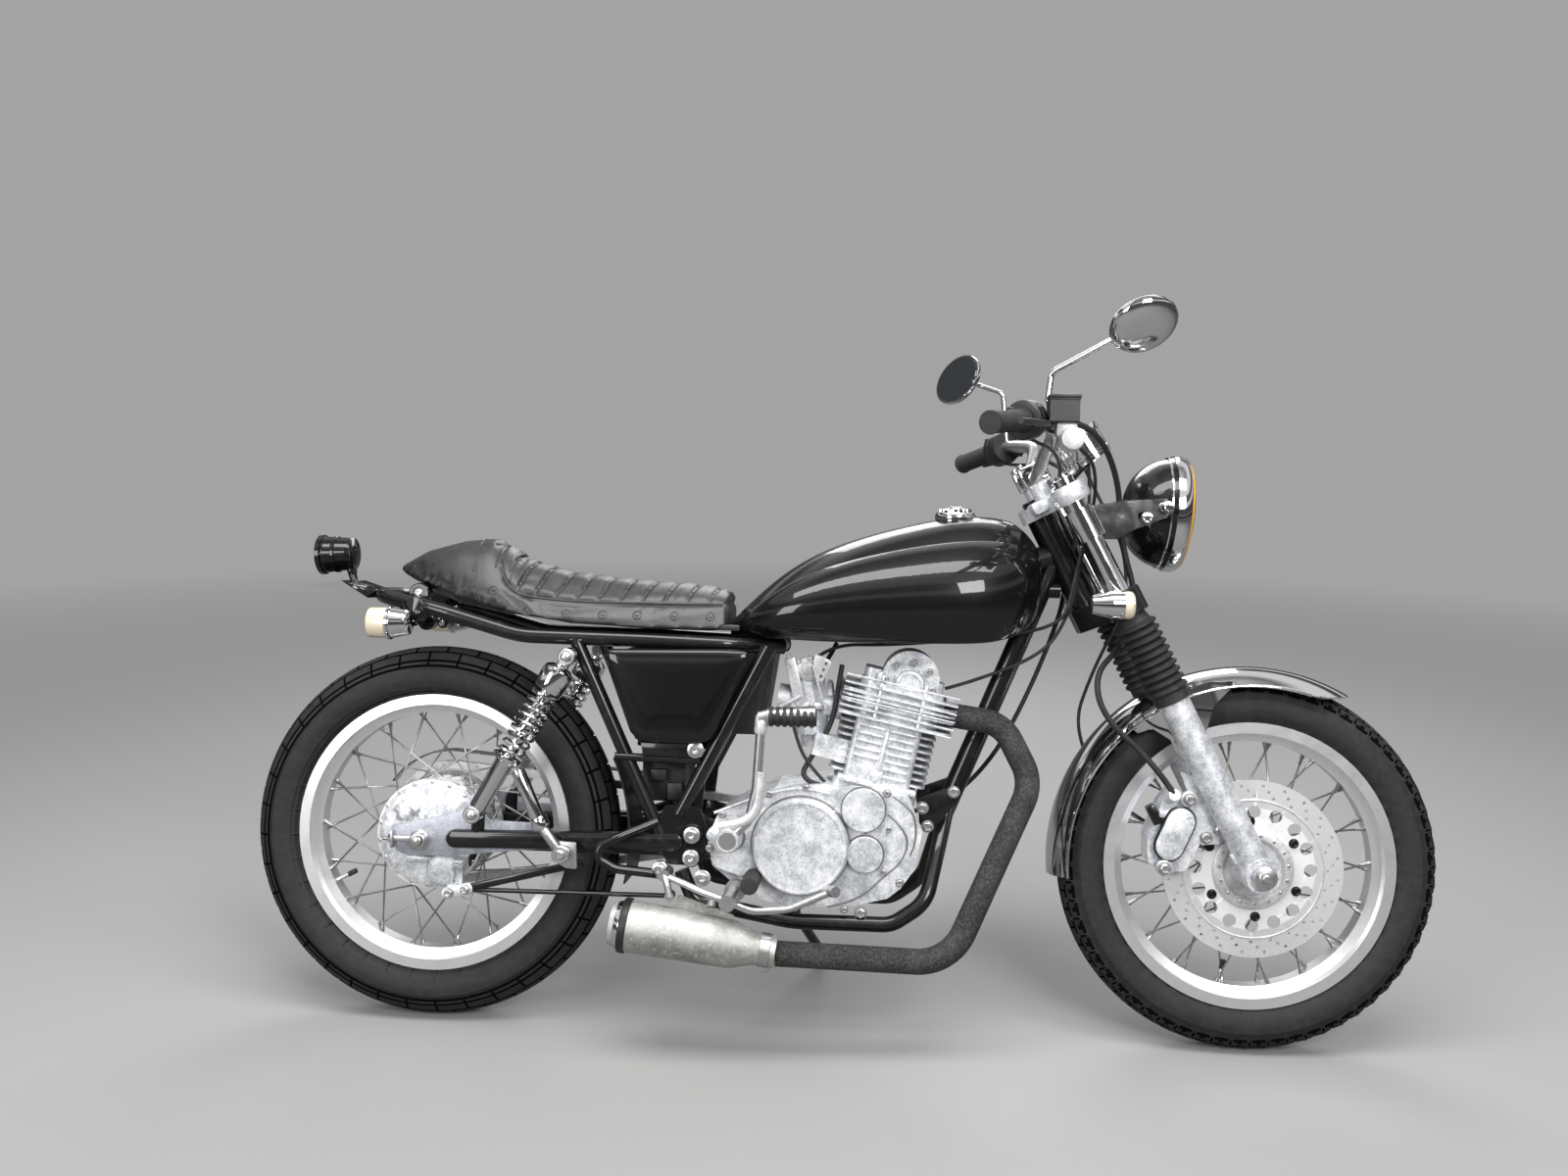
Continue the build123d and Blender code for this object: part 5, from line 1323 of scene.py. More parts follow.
for x, z in ((688, 643), (684, 633), (679, 622)):
    cut(quadrant, rod("drill", (x, -80, z), (x, -50, z), 3, 16))
carb.append(quadrant)
for x, z in ((622, 655), (622, 636), (640, 646), (660, 652), (676, 654), (641, 574), (664, 574)):
    carb.append(turn("carb_screw", (x, -57, z), RIGHT,
                     [(4, 0), (4, 4), (3, 5.2), (1.6, 5.2), (1.2, 4)], 14))
park(joined("carburettor_details", carb), "chassis", "hub")

# %% [markdown]
# Flat plates hang the engine in its frame, with large bolts through them. The breather and
# fuel hoses are bent rods with soft corners.

# %% Engine plates, their bolts and the hoses
plates = []
for side in SIDES:
    plates.append(plate("engine_plate",
                        [(849, 418), (905, 440), (924, 425), (872, 362), (852, 372)],
                        side * 58, side * 63, 1, 8))
    plates.append(plate("rear_plate", [(470, 385), (512, 372), (520, 330), (488, 300), (462, 320)],
                        side * 86, side * 91, 1, 8))
park(joined("engine_plates", plates), "chassis", "frame")
mount_bolts = []
for side in SIDES:
    for x, y, z in ((909, 63, 431), (866, 63, 371), (857, 63, 402), (756, 108, 230)):
        mount_bolts.append(((x, side * y, z), outward(side)))
LARGE = bolt("mount_bolt", 8, 7)
park(bolts("mount_bolts", LARGE, mount_bolts), "chassis", "steel")
hoses = [
    line("breather", [(714, -30, 640), (708, -44, 600), (700, -52, 540), (664, -56, 480),
                      (648, -60, 452), (672, -66, 436), (706, -72, 432)], 4.5),
    line("fuel_hose", [(702, 30, 676), (690, 20, 650), (680, 6, 640), (672, 2, 626)], 4),
    line("breather", [(628, -60, 556), (640, -62, 510), (660, -62, 470), (690, -60, 440)], 3),
]
park(joined("engine_hoses", hoses), "chassis", "rubber")

# %% [markdown]
# ## Front end
# Everything here turns with the bar or with the wheel. The disc gets its rows of small
# drillings, the lamp its ring and lens, and the hand controls their screws.

# %% Drilled disc and hub
def wheel_point(axle, radius, angle, y):
    turned = math.radians(angle)
    return Vector((axle.x + radius * math.cos(turned), y, axle.z + radius * math.sin(turned)))


disc = upright_copy("front_disc", "brake_disc")
disc.data.transform(Matrix.Scale(1000, 4))
drills = []
for group in range(24):
    for row, radius in enumerate((122, 131, 140)):
        spot = wheel_point(FRONT_AXLE, radius, group * 15 + row * 4.5, 0)
        drills.append(rod("drill", (spot.x, -70, spot.z), (spot.x, -46, spot.z), 2.8, 10))
cut(disc, joined("drills", drills))
park(disc, "front_wheel", "disc", 30)
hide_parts("front_disc")
second_finish(disc, "band", lambda p: math.hypot(p.x - FRONT_AXLE.x, p.z - FRONT_AXLE.z) > 114)
DISC_FACE = FRONT_AXLE + Vector((0, -60.4, 0))
carrier = [turn("carrier", DISC_FACE, RIGHT,
                [(117, 0), (117, 1.4), (115.6, 1.8), (114.4, 1.2), (114, 0)], 96, closed=True),
           turn("hub_flange", DISC_FACE, RIGHT,
                [(66, 0), (66, 7), (63, 8.6), (52, 8.6), (49, 5), (47, 1), (47, 0)], 72,
                closed=True),
           turn("hub_cup", DISC_FACE, RIGHT,
                [(46, 0), (44, 2.4), (34, 2.4), (30, 9), (22, 11), (20, 0)], 56, closed=True)]
park(joined("disc_carrier", carrier), "front_wheel", "hub", 30)
rivet_spots = [(wheel_point(FRONT_AXLE, 57.5, k * 24 + 8, -69), RIGHT) for k in range(15)]
RIVET = turn("rivet", ORIGIN, UP, [(2.6, -0.6), (2.6, 1.2), (1.6, 2.2)], 12)
carrier_bolts = [(wheel_point(FRONT_AXLE, 80, k * 60 + 34, -60.5), RIGHT) for k in range(6)]
DARK = bolt("carrier_bolt", 6.2, 4, washer=True, dome=True)
park(bolts("flange_rivets", RIVET, rivet_spots), "front_wheel", "steel")
park(bolts("carrier_bolts", DARK, carrier_bolts), "front_wheel", "frame")
axle_nuts = [turn("axle_collar", FRONT_AXLE + Vector((0, -137, 0)), RIGHT,
                  [(19, 0), (19, 3), (17, 4)], 40),
             turn("axle_nut", FRONT_AXLE + Vector((0, -138, 0)), RIGHT,
                  [(13, 0), (13, 7), (11.4, 8)], 6),
             turn("axle_end", FRONT_AXLE + Vector((0, -138, 0)), RIGHT,
                  [(7, 0), (7, 12), (5.6, 13)], 24),
             turn("axle_nut", FRONT_AXLE + Vector((0, 137, 0)), LEFT,
                  [(13, 0), (13, 7), (11.4, 8)], 6)]
park(joined("axle_ends", axle_nuts), "steering", "steel")

# %% [markdown]
# The calliper straddles the disc, with an oval pad on its face and two sliding sleeves. An
# oval is two half circles, so a capsule outline is worked out and extruded.

# %% Calliper
def capsule(name, ends, radius, near_y, far_y, bevel, steps=10):
    """A flat oval pad between two centres, as a plate with its edge rounded."""
    (x0, z0), (x1, z1) = ends
    heading = math.atan2(z1 - z0, x1 - x0)
    outline = []
    for centre, start in (((x1, z1), -90), ((x0, z0), 90)):
        for step in range(steps + 1):
            angle = heading + math.radians(start + 180 * step / steps)
            outline.append((centre[0] + radius * math.cos(angle),
                            centre[1] + radius * math.sin(angle)))
    return plate(name, outline, near_y, far_y, bevel)


PAD_ENDS = ((1282, 399), (1264, 358))
parts = [
    capsule("calliper_pad", PAD_ENDS, 23, -96, -104, 3),
    bar("calliper_bridge", (1262, -74, 410), (30, 44, 12), None, 3),
    turn("slide_sleeve", (1294, -92, 437), RIGHT, [(13, 0), (13, 10), (11, 12)], 32),
    turn("slide_sleeve", (1256, -92, 322), RIGHT, [(13, 0), (13, 10), (11, 12)], 32),
    bar("pad_window", (1300, -89, 420), (10, 4, 16), None, 1),
    turn("banjo", (1270, -96, 441), (0, -1, 0.3), [(10, 0), (10, 9), (8, 10)], 24),
]
park(joined("calliper_details", parts), "steering", "cast")
# A dark oval a little larger than the pad, just behind it, is a painted shadow round the pad.
edges = [capsule("pad_shadow", PAD_ENDS, 26, -94, -97.4, 0.6),
         bar("bleed_block", (1240, -84, 408), (16, 20, 34), STEER_AXES, 3)]
park(joined("calliper_shadow_and_block", edges), "steering", "frame")
calliper_screws = [((1294, -104, 437), RIGHT), ((1256, -104, 322), RIGHT),
                   ((1331, -87, 464), RIGHT), ((1326, -87, 372), RIGHT),
                   ((1348, -87, 386), RIGHT)]
park(bolts("calliper_bolts", LARGE, calliper_screws), "steering", "steel")

# %% [markdown]
# The rim is a closed lathe profile with a rolled lip, and the lens is a shallow dome of
# rings. The rim's inner edge glows amber in the photograph, so a thin ring carries that.

# %% Head lamp's rim and lens
LAMP = fore(128, 0, 913)
LAMP_AXIS = Vector((math.cos(math.radians(4)), 0, -math.sin(math.radians(4))))
ring = [turn("lamp_ring", LAMP, LAMP_AXIS,
             [(96, -16), (99.4, -15), (100, -8), (99.4, 0), (96, 7), (92, 10), (89, 10.4),
              (88.4, 7), (92, 3), (95, -4)], 96, closed=True),
        turn("lamp_seam", LAMP - LAMP_AXIS * 25, LAMP_AXIS,
             [(94.4, -1), (96.2, 0), (96.2, 2), (95, 3)], 96, closed=True)]
park(joined("lamp_rim", ring), "steering", "chrome")
lens_steps = [(89, 9), (86, 12.6), (76, 16.4), (60, 20.6), (40, 23.6), (20, 25.2), (0, 25.8)]
lens = turn("lamp_lens", LAMP, LAMP_AXIS, lens_steps, 96)
glow = turn("lamp_edge", LAMP, LAMP_AXIS,
            [(92.6, 9.4), (92, 11.6), (89.6, 13), (88.4, 12), (88.6, 9)], 96, closed=True)


# %% [markdown]
# Coloured plastic is a dyed base under a clear coat. Flutes in the lamp's lens are a wave
# pattern that only the bump sees.

# %% Lenses and glass
def lens_glass(name, tone, rough, flutes_per_metre=0):
    shader = Shader(name, tone, rough, 0.0, Coat_Weight=1.0, Coat_Roughness=0.02)
    if flutes_per_metre:
        flutes = shader.node("ShaderNodeTexWave", {"bands_direction": "Y"},
                             {"Scale": flutes_per_metre})
        shader.bump(flutes, 0.0012, 0.8)
    return shader.material


FINISHES.update({
    "clear": lens_glass("clear_lens", (0.62, 0.64, 0.65), 0.1, 45),
    # The amber finish is a painted glow, for the head lamp's rim edge.
    "amber": lens_glass("amber_edge_glow", (0.7, 0.33, 0.03), 0.12),
    "pale": lens_glass("pale_lens", (0.78, 0.68, 0.5), 0.14),
    "red": lens_glass("red_lens", (0.42, 0.01, 0.01), 0.12),
    "mirror": lens_glass("mirror_glass", (0.02, 0.022, 0.024), 0.03),
    "dial": lens_glass("dial_black", (0.01, 0.01, 0.012), 0.08),
})
park(lens, "steering", "clear", 60)
park(glow, "steering", "amber", 60)
lamp_bolts = [((1245, -121, 917), RIGHT), ((1245, 121, 917), LEFT), ((1213, -114, 898), RIGHT)]
park(bolts("lamp_bolts", LARGE, lamp_bolts), "steering", "chrome")

# %% [markdown]
# The yokes tie both fork tubes to the stem. Caps, clamps and the nut are turned along the
# steering axis, so they lean with the fork. The top yoke's eyes close round the tubes.

# %% Yokes, stem nut and clamps
crown = []
for y in FORK_SIDES:
    crown.append(turn("fork_cap", steered(FORK_OFFSET, y, 724), STEER_Z,
                      [(19, 0), (19, 3), (15, 5), (14, 5), (14, 9), (9, 10)], 32))
crown.append(turn("stem_nut", steered(0, 0, 708), STEER_Z,
                  [(20, 0), (20, 8), (17, 10), (9, 10), (8, 6)], 6))
for y in (-45, 45):
    crown.append(bar("bar_clamp", BAR_CENTRE + Vector((0, y, 6)), (48, 26, 38), STEER_AXES, 5))
    for ahead in (-18, 18):
        crown.append(turn("clamp_bolt",
                          BAR_CENTRE + STEER_X * ahead + Vector((0, y, 6)) + STEER_Z * 18,
                          STEER_Z, [(6, 0), (6, 7), (5, 8), (3, 8), (2.6, 5)], 20))
for y in FORK_SIDES:
    for up in (622, 664):
        crown.append(turn("lamp_clamp", steered(FORK_OFFSET, y, up), STEER_Z,
                          [(19, -6), (22, -6), (22.8, -4), (22.8, 4), (22, 6), (19, 6)], 40,
                          closed=True))
park(joined("crown_details", crown), "steering", "chrome")
eyes = [turn("yoke_eye", steered(FORK_OFFSET, y, 684), STEER_Z,
             [(23, 0), (30, 1), (32, 4), (32, 24), (29, 30), (23, 31)], 44, closed=True)
        for y in FORK_SIDES]
eyes.append(bar("yoke_web", steered(14, 0, 701), (62, 176, 22), STEER_AXES, 6))
park(joined("yoke_eyes", eyes), "steering", "cast")
yoke_bolts = [(steered(20, side * 112, 690), outward(side)) for side in SIDES]
yoke_bolts += [(steered(72, side * FORK_HALF_SPACING, 496), STEER_X) for side in SIDES]
park(bolts("yoke_bolts", HEX, yoke_bolts), "steering", "steel")

# %% [markdown]
# Bellows end in a rubber band on a lip that is turned on the slider. The axle sits in a round
# clamp at the foot of each leg.

# %% Gaiter bands, slider lips and axle clamps
sleeves = []
for side in SIDES:
    y = side * FORK_HALF_SPACING
    sleeves.append(turn("dust_band", steered(FORK_OFFSET, y, 332), STEER_Z,
                        [(27, -2), (28.6, 0), (28.6, 20), (26, 22), (24, 22), (24, -2)], 48,
                        closed=True))
park(joined("gaiter_bands", sleeves), "steering", "rubber")
slider_details = []
for side in SIDES:
    y = side * FORK_HALF_SPACING
    slider_details.append(turn("slider_lip", steered(FORK_OFFSET, y, 318), STEER_Z,
                               [(26, -4), (28.4, -2), (28.8, 8), (27, 10), (25, 10)], 48,
                               closed=True))
    slider_details.append(bar("drain_boss", steered(24, y, 40), (12, 16, 20), STEER_AXES, 3))
    slider_details.append(turn("axle_clamp", fore(0, side * 110, 318), outward(side),
                               [(28, -16), (30, -14), (30, 14), (28, 17), (20, 17)], 48))
park(joined("slider_details", slider_details), "steering", "cast")

# %% [markdown]
# A grip is a rubber sleeve with a flange at each end and rings between. The left one is
# turned along the bar, and a mirrored copy with flipped normals makes the right one.

# %% Grips
bar_end = BAR_CENTRE + Vector((-99, 341, 58))
bar_bend = BAR_CENTRE + Vector((-23, 205, 80))
grip_run = (bar_bend - bar_end).normalized()
MIRRORED = Matrix.Diagonal((1, -1, 1, 1))


def both_sides(name, make):
    """Makes a part for the left and a turned-over copy for the right, and joins them."""
    left = make()
    right = copy(left)
    right.data.transform(MIRRORED)
    right.data.flip_normals()
    return joined(name, [left, right])


grip_steps = [(7, -1), (18.4, -1), (18.8, 1), (18.4, 4), (16, 5)]
for rib in range(22):
    low = 7 + rib * 4.6
    grip_steps += [(16, low), (17.2, low + 0.8), (17.2, low + 2.6), (16, low + 3.4)]
grip_steps += [(16, 110), (20, 111), (20, 115), (12, 116)]
grips = both_sides("ribbed_grips", lambda: turn("grip", bar_end, grip_run, grip_steps, 32))
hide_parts("grips")
park(grips, "steering", "rubber", 40)


# %% [markdown]
# Each switch housing is two shells round the bar, with a button, a lever's perch and a wire.
# The brake's master cylinder is a turned body under a square reservoir.

# %% Switches and the master cylinder
def switch_block():
    housing = turn("switch", bar_end + grip_run * 117, grip_run,
                   [(20, 0), (29, 1), (31.5, 4), (31.5, 15), (30.4, 15.6), (30.4, 16.4), (31.5, 17),
                    (31.5, 30), (29, 36), (20, 37)], 44)
    button = bar("switch_button", bar_end + grip_run * 133 + Vector((-22, 0, 16)), (16, 20, 8),
                 None, 2)
    lever = bar("perch", bar_end + grip_run * 154 + Vector((16, 0, -3)), (34, 22, 16), None, 4)
    wire = line("switch_wire", [bar_end + grip_run * 132 + Vector((0, 0, -24)),
                                bar_end + grip_run * 150 + Vector((6, 0, -34)),
                                BAR_CENTRE + Vector((24, 130, 40)),
                                BAR_CENTRE + Vector((44, 70, 4)),
                                BAR_CENTRE + Vector((36, 30, -26))], 3)
    return joined("switch_block", [housing, button, lever, wire])


park(both_sides("switch_blocks", switch_block), "steering", "plastic")
reservoir = [bar("reservoir_lid", BAR_CENTRE + Vector((23, -226, 112)), (50, 56, 7), None, 2),
             bar("reservoir_gasket", BAR_CENTRE + Vector((23, -226, 107.4)), (48, 54, 3), None, 1)]
park(joined("master_lid", reservoir), "steering", "plastic")
master = [turn("master_body", BAR_CENTRE + Vector((36, -256, 46)), LEFT,
               [(10, 0), (17, 2), (19, 6), (19, 44), (16, 50), (16, 64), (12, 68)], 36),
          bar("master_neck", BAR_CENTRE + Vector((28, -226, 62)), (34, 30, 26), None, 6)]
park(joined("master_cylinder", master), "steering", "hub")
lid_screws = [(BAR_CENTRE + Vector((23 + dx, -226 + dy, 114)), Vector((0, 0, 1)))
              for dx in (-17, 17) for dy in (-19, 19)]
park(bolts("lid_screws", RIVET, lid_screws), "steering", "steel")

# %% [markdown]
# Speedometer and rev counter are cups with a bright bezel. The bezel and band are closed
# lathe profiles at the cup's own height, and the dial is a dark disc behind the glass.

# %% Gauges
for number, y in enumerate((-46, 46)):
    foot = fore(278, y, 1000)
    axis = (fore(308, y, 1046) - foot).normalized()
    height = (fore(308, y, 1046) - foot).length
    ring = turn("gauge_ring", foot, axis,
                [(36.4, height - 12), (38.4, height - 10), (38.4, height - 1), (37, height + 1.6),
                 (34, height + 1.8), (33, height)], 56, closed=True)
    cup = turn("gauge_band", foot, axis, [(36.3, 6), (37.2, 7), (37.2, 12), (36.3, 13)], 56,
               closed=True)
    face = turn("gauge_face", foot, axis, [(33.4, height - 1), (33.4, height + 0.8)], 48)
    park(joined(f"gauge_bezel_{number}", [ring, cup]), "steering", "chrome")
    park(face, "steering", "dial")

# %% [markdown]
# A round mirror is a flat pane in a domed chrome shell. Both are turned about the direction
# in which the glass looks, which differs from left to right.

# %% Mirrors
for name, place, glass in (("right", (134, -285, 218), (-0.21, 0.62, 0.75)),
                           ("left", (-115, 284, 217), (-0.68, -0.63, 0.37))):
    middle = BAR_CENTRE + Vector(place)
    towards = Vector(glass).normalized()
    rim = turn("mirror_rim", middle, towards,
               [(48, 3.6), (52, 3.8), (53, 2), (53, -3), (52, -4)], 64, closed=True)
    back = turn("mirror_back", middle, towards,
                [(52.5, -2), (50, -7), (42, -12.4), (28, -15.6), (0, -16.6)], 64)
    park(joined(f"mirror_shell_{name}", [rim, back]), "steering", "chrome", 40)
    pane = turn(f"mirror_pane_{name}", middle, towards, [(48, 3.4), (48, 4.7), (0, 5.2)], 64)
    park(pane, "steering", "mirror")

# %% [markdown]
# An indicator is a chrome cup on a stem, with a pale plastic cap. The cap closes towards its
# tip in small steps, so that its edge looks soft.

# %% Front indicators
for side in SIDES:
    centre = fore(244, side * 168, 756)
    body = [turn("indicator_ring", centre, (1, 0, 0),
                 [(22.2, -3), (23.2, -2), (23.2, 2), (22.2, 3)], 40, closed=True),
            turn("indicator_stem", fore(262, side * 148, 757), (0, -side, 0),
                 [(12, 0), (13, 2), (10, 10), (8, 14)], 24)]
    park(joined(f"indicator_band_{'left' if side > 0 else 'right'}", body), "steering", "chrome")
    cap = turn("front_lens", centre, (1, 0, 0),
               [(22.4, 2), (22.8, 10), (22.4, 15), (19, 18.6), (10, 20), (0, 20.4)], 40)
    park(cap, "steering", "pale", 50)

# %% [markdown]
# The guard's front end is rounded and its edges are rolled. A cutter with a half round bite
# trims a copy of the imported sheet, and thin rods follow its edges as beads.

# %% Mudguard's tip and beads
GUARD_HALF_WIDTH = 62
BEAD_RADIUS = 307
GUARD_TIP = math.radians(60)
TIP_LENGTH = 78
bite = [(-75, -12), (75, -12), (75, TIP_LENGTH)]
bite += [(GUARD_HALF_WIDTH * math.cos(a), TIP_LENGTH * (1 - math.sin(a)))
         for a in (math.pi * k / 24 for k in range(25))]
bite += [(-75, TIP_LENGTH)]
cutter = plate("tip_cutter", bite, -70, 30)
radial = Vector((math.cos(GUARD_TIP), 0, math.sin(GUARD_TIP)))
backwards = Vector((-math.sin(GUARD_TIP), 0, math.cos(GUARD_TIP)))
grid = Matrix((LEFT, radial, backwards)).transposed().to_4x4()
cutter.data.transform(Matrix.Translation(FRONT_AXLE + radial * 336) @ grid)
edit(cutter)
bpy.ops.mesh.select_all(action="SELECT")
bpy.ops.mesh.normals_make_consistent(inside=False)
leave()
guard_sheet = upright_copy("front_mudguard", "mudguard_sheet")
guard_sheet.data.transform(Matrix.Scale(1000, 4))
cut(guard_sheet, cutter)
park(guard_sheet, "steering", "chrome", 40)
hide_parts("front_mudguard")
edges = []
for side in SIDES:
    sweep = []
    for step in range(33):
        angle = math.radians(73 + 112 * step / 32)
        sweep.append(FRONT_AXLE + Vector((BEAD_RADIUS * math.cos(angle), side * GUARD_HALF_WIDTH,
                                          BEAD_RADIUS * math.sin(angle))))
    edges.append(line("guard_bead", sweep, 2.4, 3))
park(joined("guard_beads", edges), "steering", "chrome")
discard(RIVET, DARK)

# %% [markdown]
# ## Rear suspension and wheel
# A spring is one wire, so its helix is one curve with a round section. The damper inside
# it is turned, like every other round part of the machine.

# %% Coil springs and dampers
def helix(name, foot, along, radius, wire, start, end, turns):
    """A coil spring's wire, round an axis, from one distance to another."""
    across = Vector((0, 1, 0))
    beside = along.cross(across).normalized()
    points = []
    for step in range(turns * 12 + 1):
        angle = step * math.pi / 6
        rise = start + (end - start) * step / (turns * 12)
        beside_axis = (across * math.cos(angle) + beside * math.sin(angle)) * radius
        points.append(foot + along * rise + beside_axis)
    return line(name, points, wire, 2, 3, 3)


SHOCK_FOOT = (101, 379)
SHOCK_TOP = (256, 648)
for side, name in ((-1, "right"), (1, "left")):
    y = side * 138
    foot = Vector((SHOCK_FOOT[0], y, SHOCK_FOOT[1]))
    top = Vector((SHOCK_TOP[0], y, SHOCK_TOP[1]))
    along = (top - foot).normalized()
    out = outward(side)
    bright = [
        turn("lower_body", foot, along,
             [(11, 6), (15, 12), (16, 16), (16, 100), (18, 104), (18, 106), (24.5, 108),
              (26, 112), (26, 115), (22, 117), (9, 118)], 40),
        turn("damper_tube", foot, along, [(11.5, 116), (11.5, 236), (9, 240), (9, 252)], 32),
        turn("upper_can", foot, along,
             [(20, 245), (26, 246), (27, 249), (27, 276), (25, 284), (18, 289), (11, 291),
              (11, 302)], 48),
        turn("lower_eye", foot - out * 12, out, [(9, 0), (15, 0), (15, 24), (9, 24)], 32),
        turn("upper_eye", top - out * 12, out, [(9, 0), (15, 0), (15, 24), (9, 24)], 32),
        helix("spring", foot, along, 22.5, 3.1, 119, 244, 9),
    ]
    shock = joined(f"shock_{name}", bright)
    if side < 0:
        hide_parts("shocks")
    park(shock, "chassis", "chrome")
    nuts = [turn("eye_washer", place + out * 12, out,
                 [(14, 0), (14, 2.4), (12.6, 3.4), (8, 3.4), (8, 9), (6, 11), (3.5, 11.6)], 28)
            for place in (foot, top)]
    park(joined(f"shock_nuts_{name}", nuts), "chassis", "steel")

# %% [markdown]
# The arm ends in a plate that carries the axle and its chain adjuster. The plate is one
# outline for both sides, and the adjuster is a block, an eye and a threaded bolt.

# %% Swing arm ends
FINISHES["dull"] = cast_alloy("plate_alloy", (0.5, 0.52, 0.57), (0.3, 0.31, 0.35), 0.5)
ARM_PLATE = [(-49, 350), (-50, 334), (-42, 306), (-22, 298), (60, 301), (137, 310), (211, 317),
             (211, 354), (190, 362), (120, 364), (108, 382), (98, 392), (84, 388), (66, 376),
             (-18, 356)]
plates = [plate("arm_plate", ARM_PLATE, side * 103, side * 109, 1.5) for side in SIDES]
park(joined("arm_plates", plates), "chassis", "dull")
arms = [capsule("arm_tube", ((62, 331), (440, 338)), 16, side * 101, side * 119, 7)
        for side in SIDES]
park(joined("arm_tubes", arms), "chassis", "frame")
adjusters, springs = [], []
for side in SIDES:
    out = outward(side)
    axle = Vector((0, side * 109, REAR_TYRE_R))
    adjusters.append(turn("adjuster_eye", axle, out,
                          [(17, 0), (17, 5), (15.6, 6.2), (9, 6.2), (9, 0)], 40))
    adjusters.append(bar("adjuster_bar", axle + Vector((-26, side * 3.5, 1)),
                         (40, 5, 10), None, 1.5))
    adjusters.append(bar("adjuster_stop", axle + Vector((-47, 0, 0)), (5, 20, 30), None, 1.2))
    adjusters.append(turn("axle_nut", axle + out * 6, out,
                          [(13, 0), (13, 9), (11.5, 10), (8, 10), (8, 14), (6.5, 15)],
                          6 if side > 0 else 24))
    springs.append(rod("adjuster_bolt", axle + Vector((-48, 0, 0)), axle + Vector((-66, 0, 0)),
                       3.4, 14, 0.6))
    springs.append(turn("adjuster_lock", axle + Vector((-50, 0, 0)), (-1, 0, 0),
                        [(7, 0), (7, 5), (6, 6)], 6))
park(joined("axle_adjusters", adjusters), "chassis", "steel")
FINISHES["rusted"] = steel("rusted_steel", 0.4, (0.3, 0.12, 0.06))
park(joined("adjuster_bolts", springs), "chassis", "rusted")

# %% [markdown]
# The drum's backing plate is a casting with a step, a cam boss and a rib. A painted rod holds
# it against the brake's pull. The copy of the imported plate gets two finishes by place.

# %% Brake plate
def refinished(name, node, body, first, second, test):
    """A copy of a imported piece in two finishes: the faces that pass a test get the second."""
    twin = upright_copy(node, name)
    twin.data.transform(Matrix.Scale(1000, 4))
    park(twin, body, first, 30)
    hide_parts(node)
    second_finish(twin, second, test)
    return twin


refinished("brake_backing", "brake_plate", "chassis", "cast", "frame", lambda p: p.x > 72)
brake = [turn("plate_step", REAR_AXLE + Vector((0, -53, 0)), RIGHT,
              [(95, -2), (95, 1.4), (84, 2.8), (82, 5), (80, 5), (79, 0)], 96, closed=True),
         bar("wear_boss", (-41, -66, 367), (22, 14, 30), None, 3),
         turn("wear_stud", (-41, -73, 362), RIGHT, [(9, 0), (9, 3), (7, 4), (4, 4), (4, 7)], 28),
         turn("cam_boss", (30, -60, 270), RIGHT, [(31, 0), (31, 8), (27, 14), (18, 17), (10, 17)],
              40),
         bar("plate_rib", (-6, -64, 285), (64, 14, 12), None, 3),
         capsule("lever_lug", ((48, 236), (84, 245)), 9.5, -98, -108, 2),
         bar("lug_bridge", (53, -82, 243), (16, 40, 14), None, 3)]
park(joined("brake_casting", brake), "chassis", "cast")
torque = [bar("torque_arm", (172, -103, 268), (226, 9, 13),
              (Vector((0.969, 0, 0.247)), Vector((0, 1, 0)), Vector((-0.247, 0, 0.969))), 2.5)]
park(joined("torque_arm", torque), "chassis", "frame")
PLATE_BOLT = bolt("plate_bolt", 6.5, 5)
torque_bolts = [((52, -108, 237), RIGHT), ((80, -108, 244), RIGHT)]
park(bolts("torque_bolts", PLATE_BOLT, torque_bolts), "chassis", "steel")

# %% [markdown]
# Thirty-six spokes cross in pairs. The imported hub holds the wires, so what is added is a
# nipple at each rim hole and a head at each flange hole, aimed along its own spoke.

# %% Spoke nipples, spoke heads and valves
def from_axle(place, axle):
    return math.hypot(place.x - axle.x, place.z - axle.z)


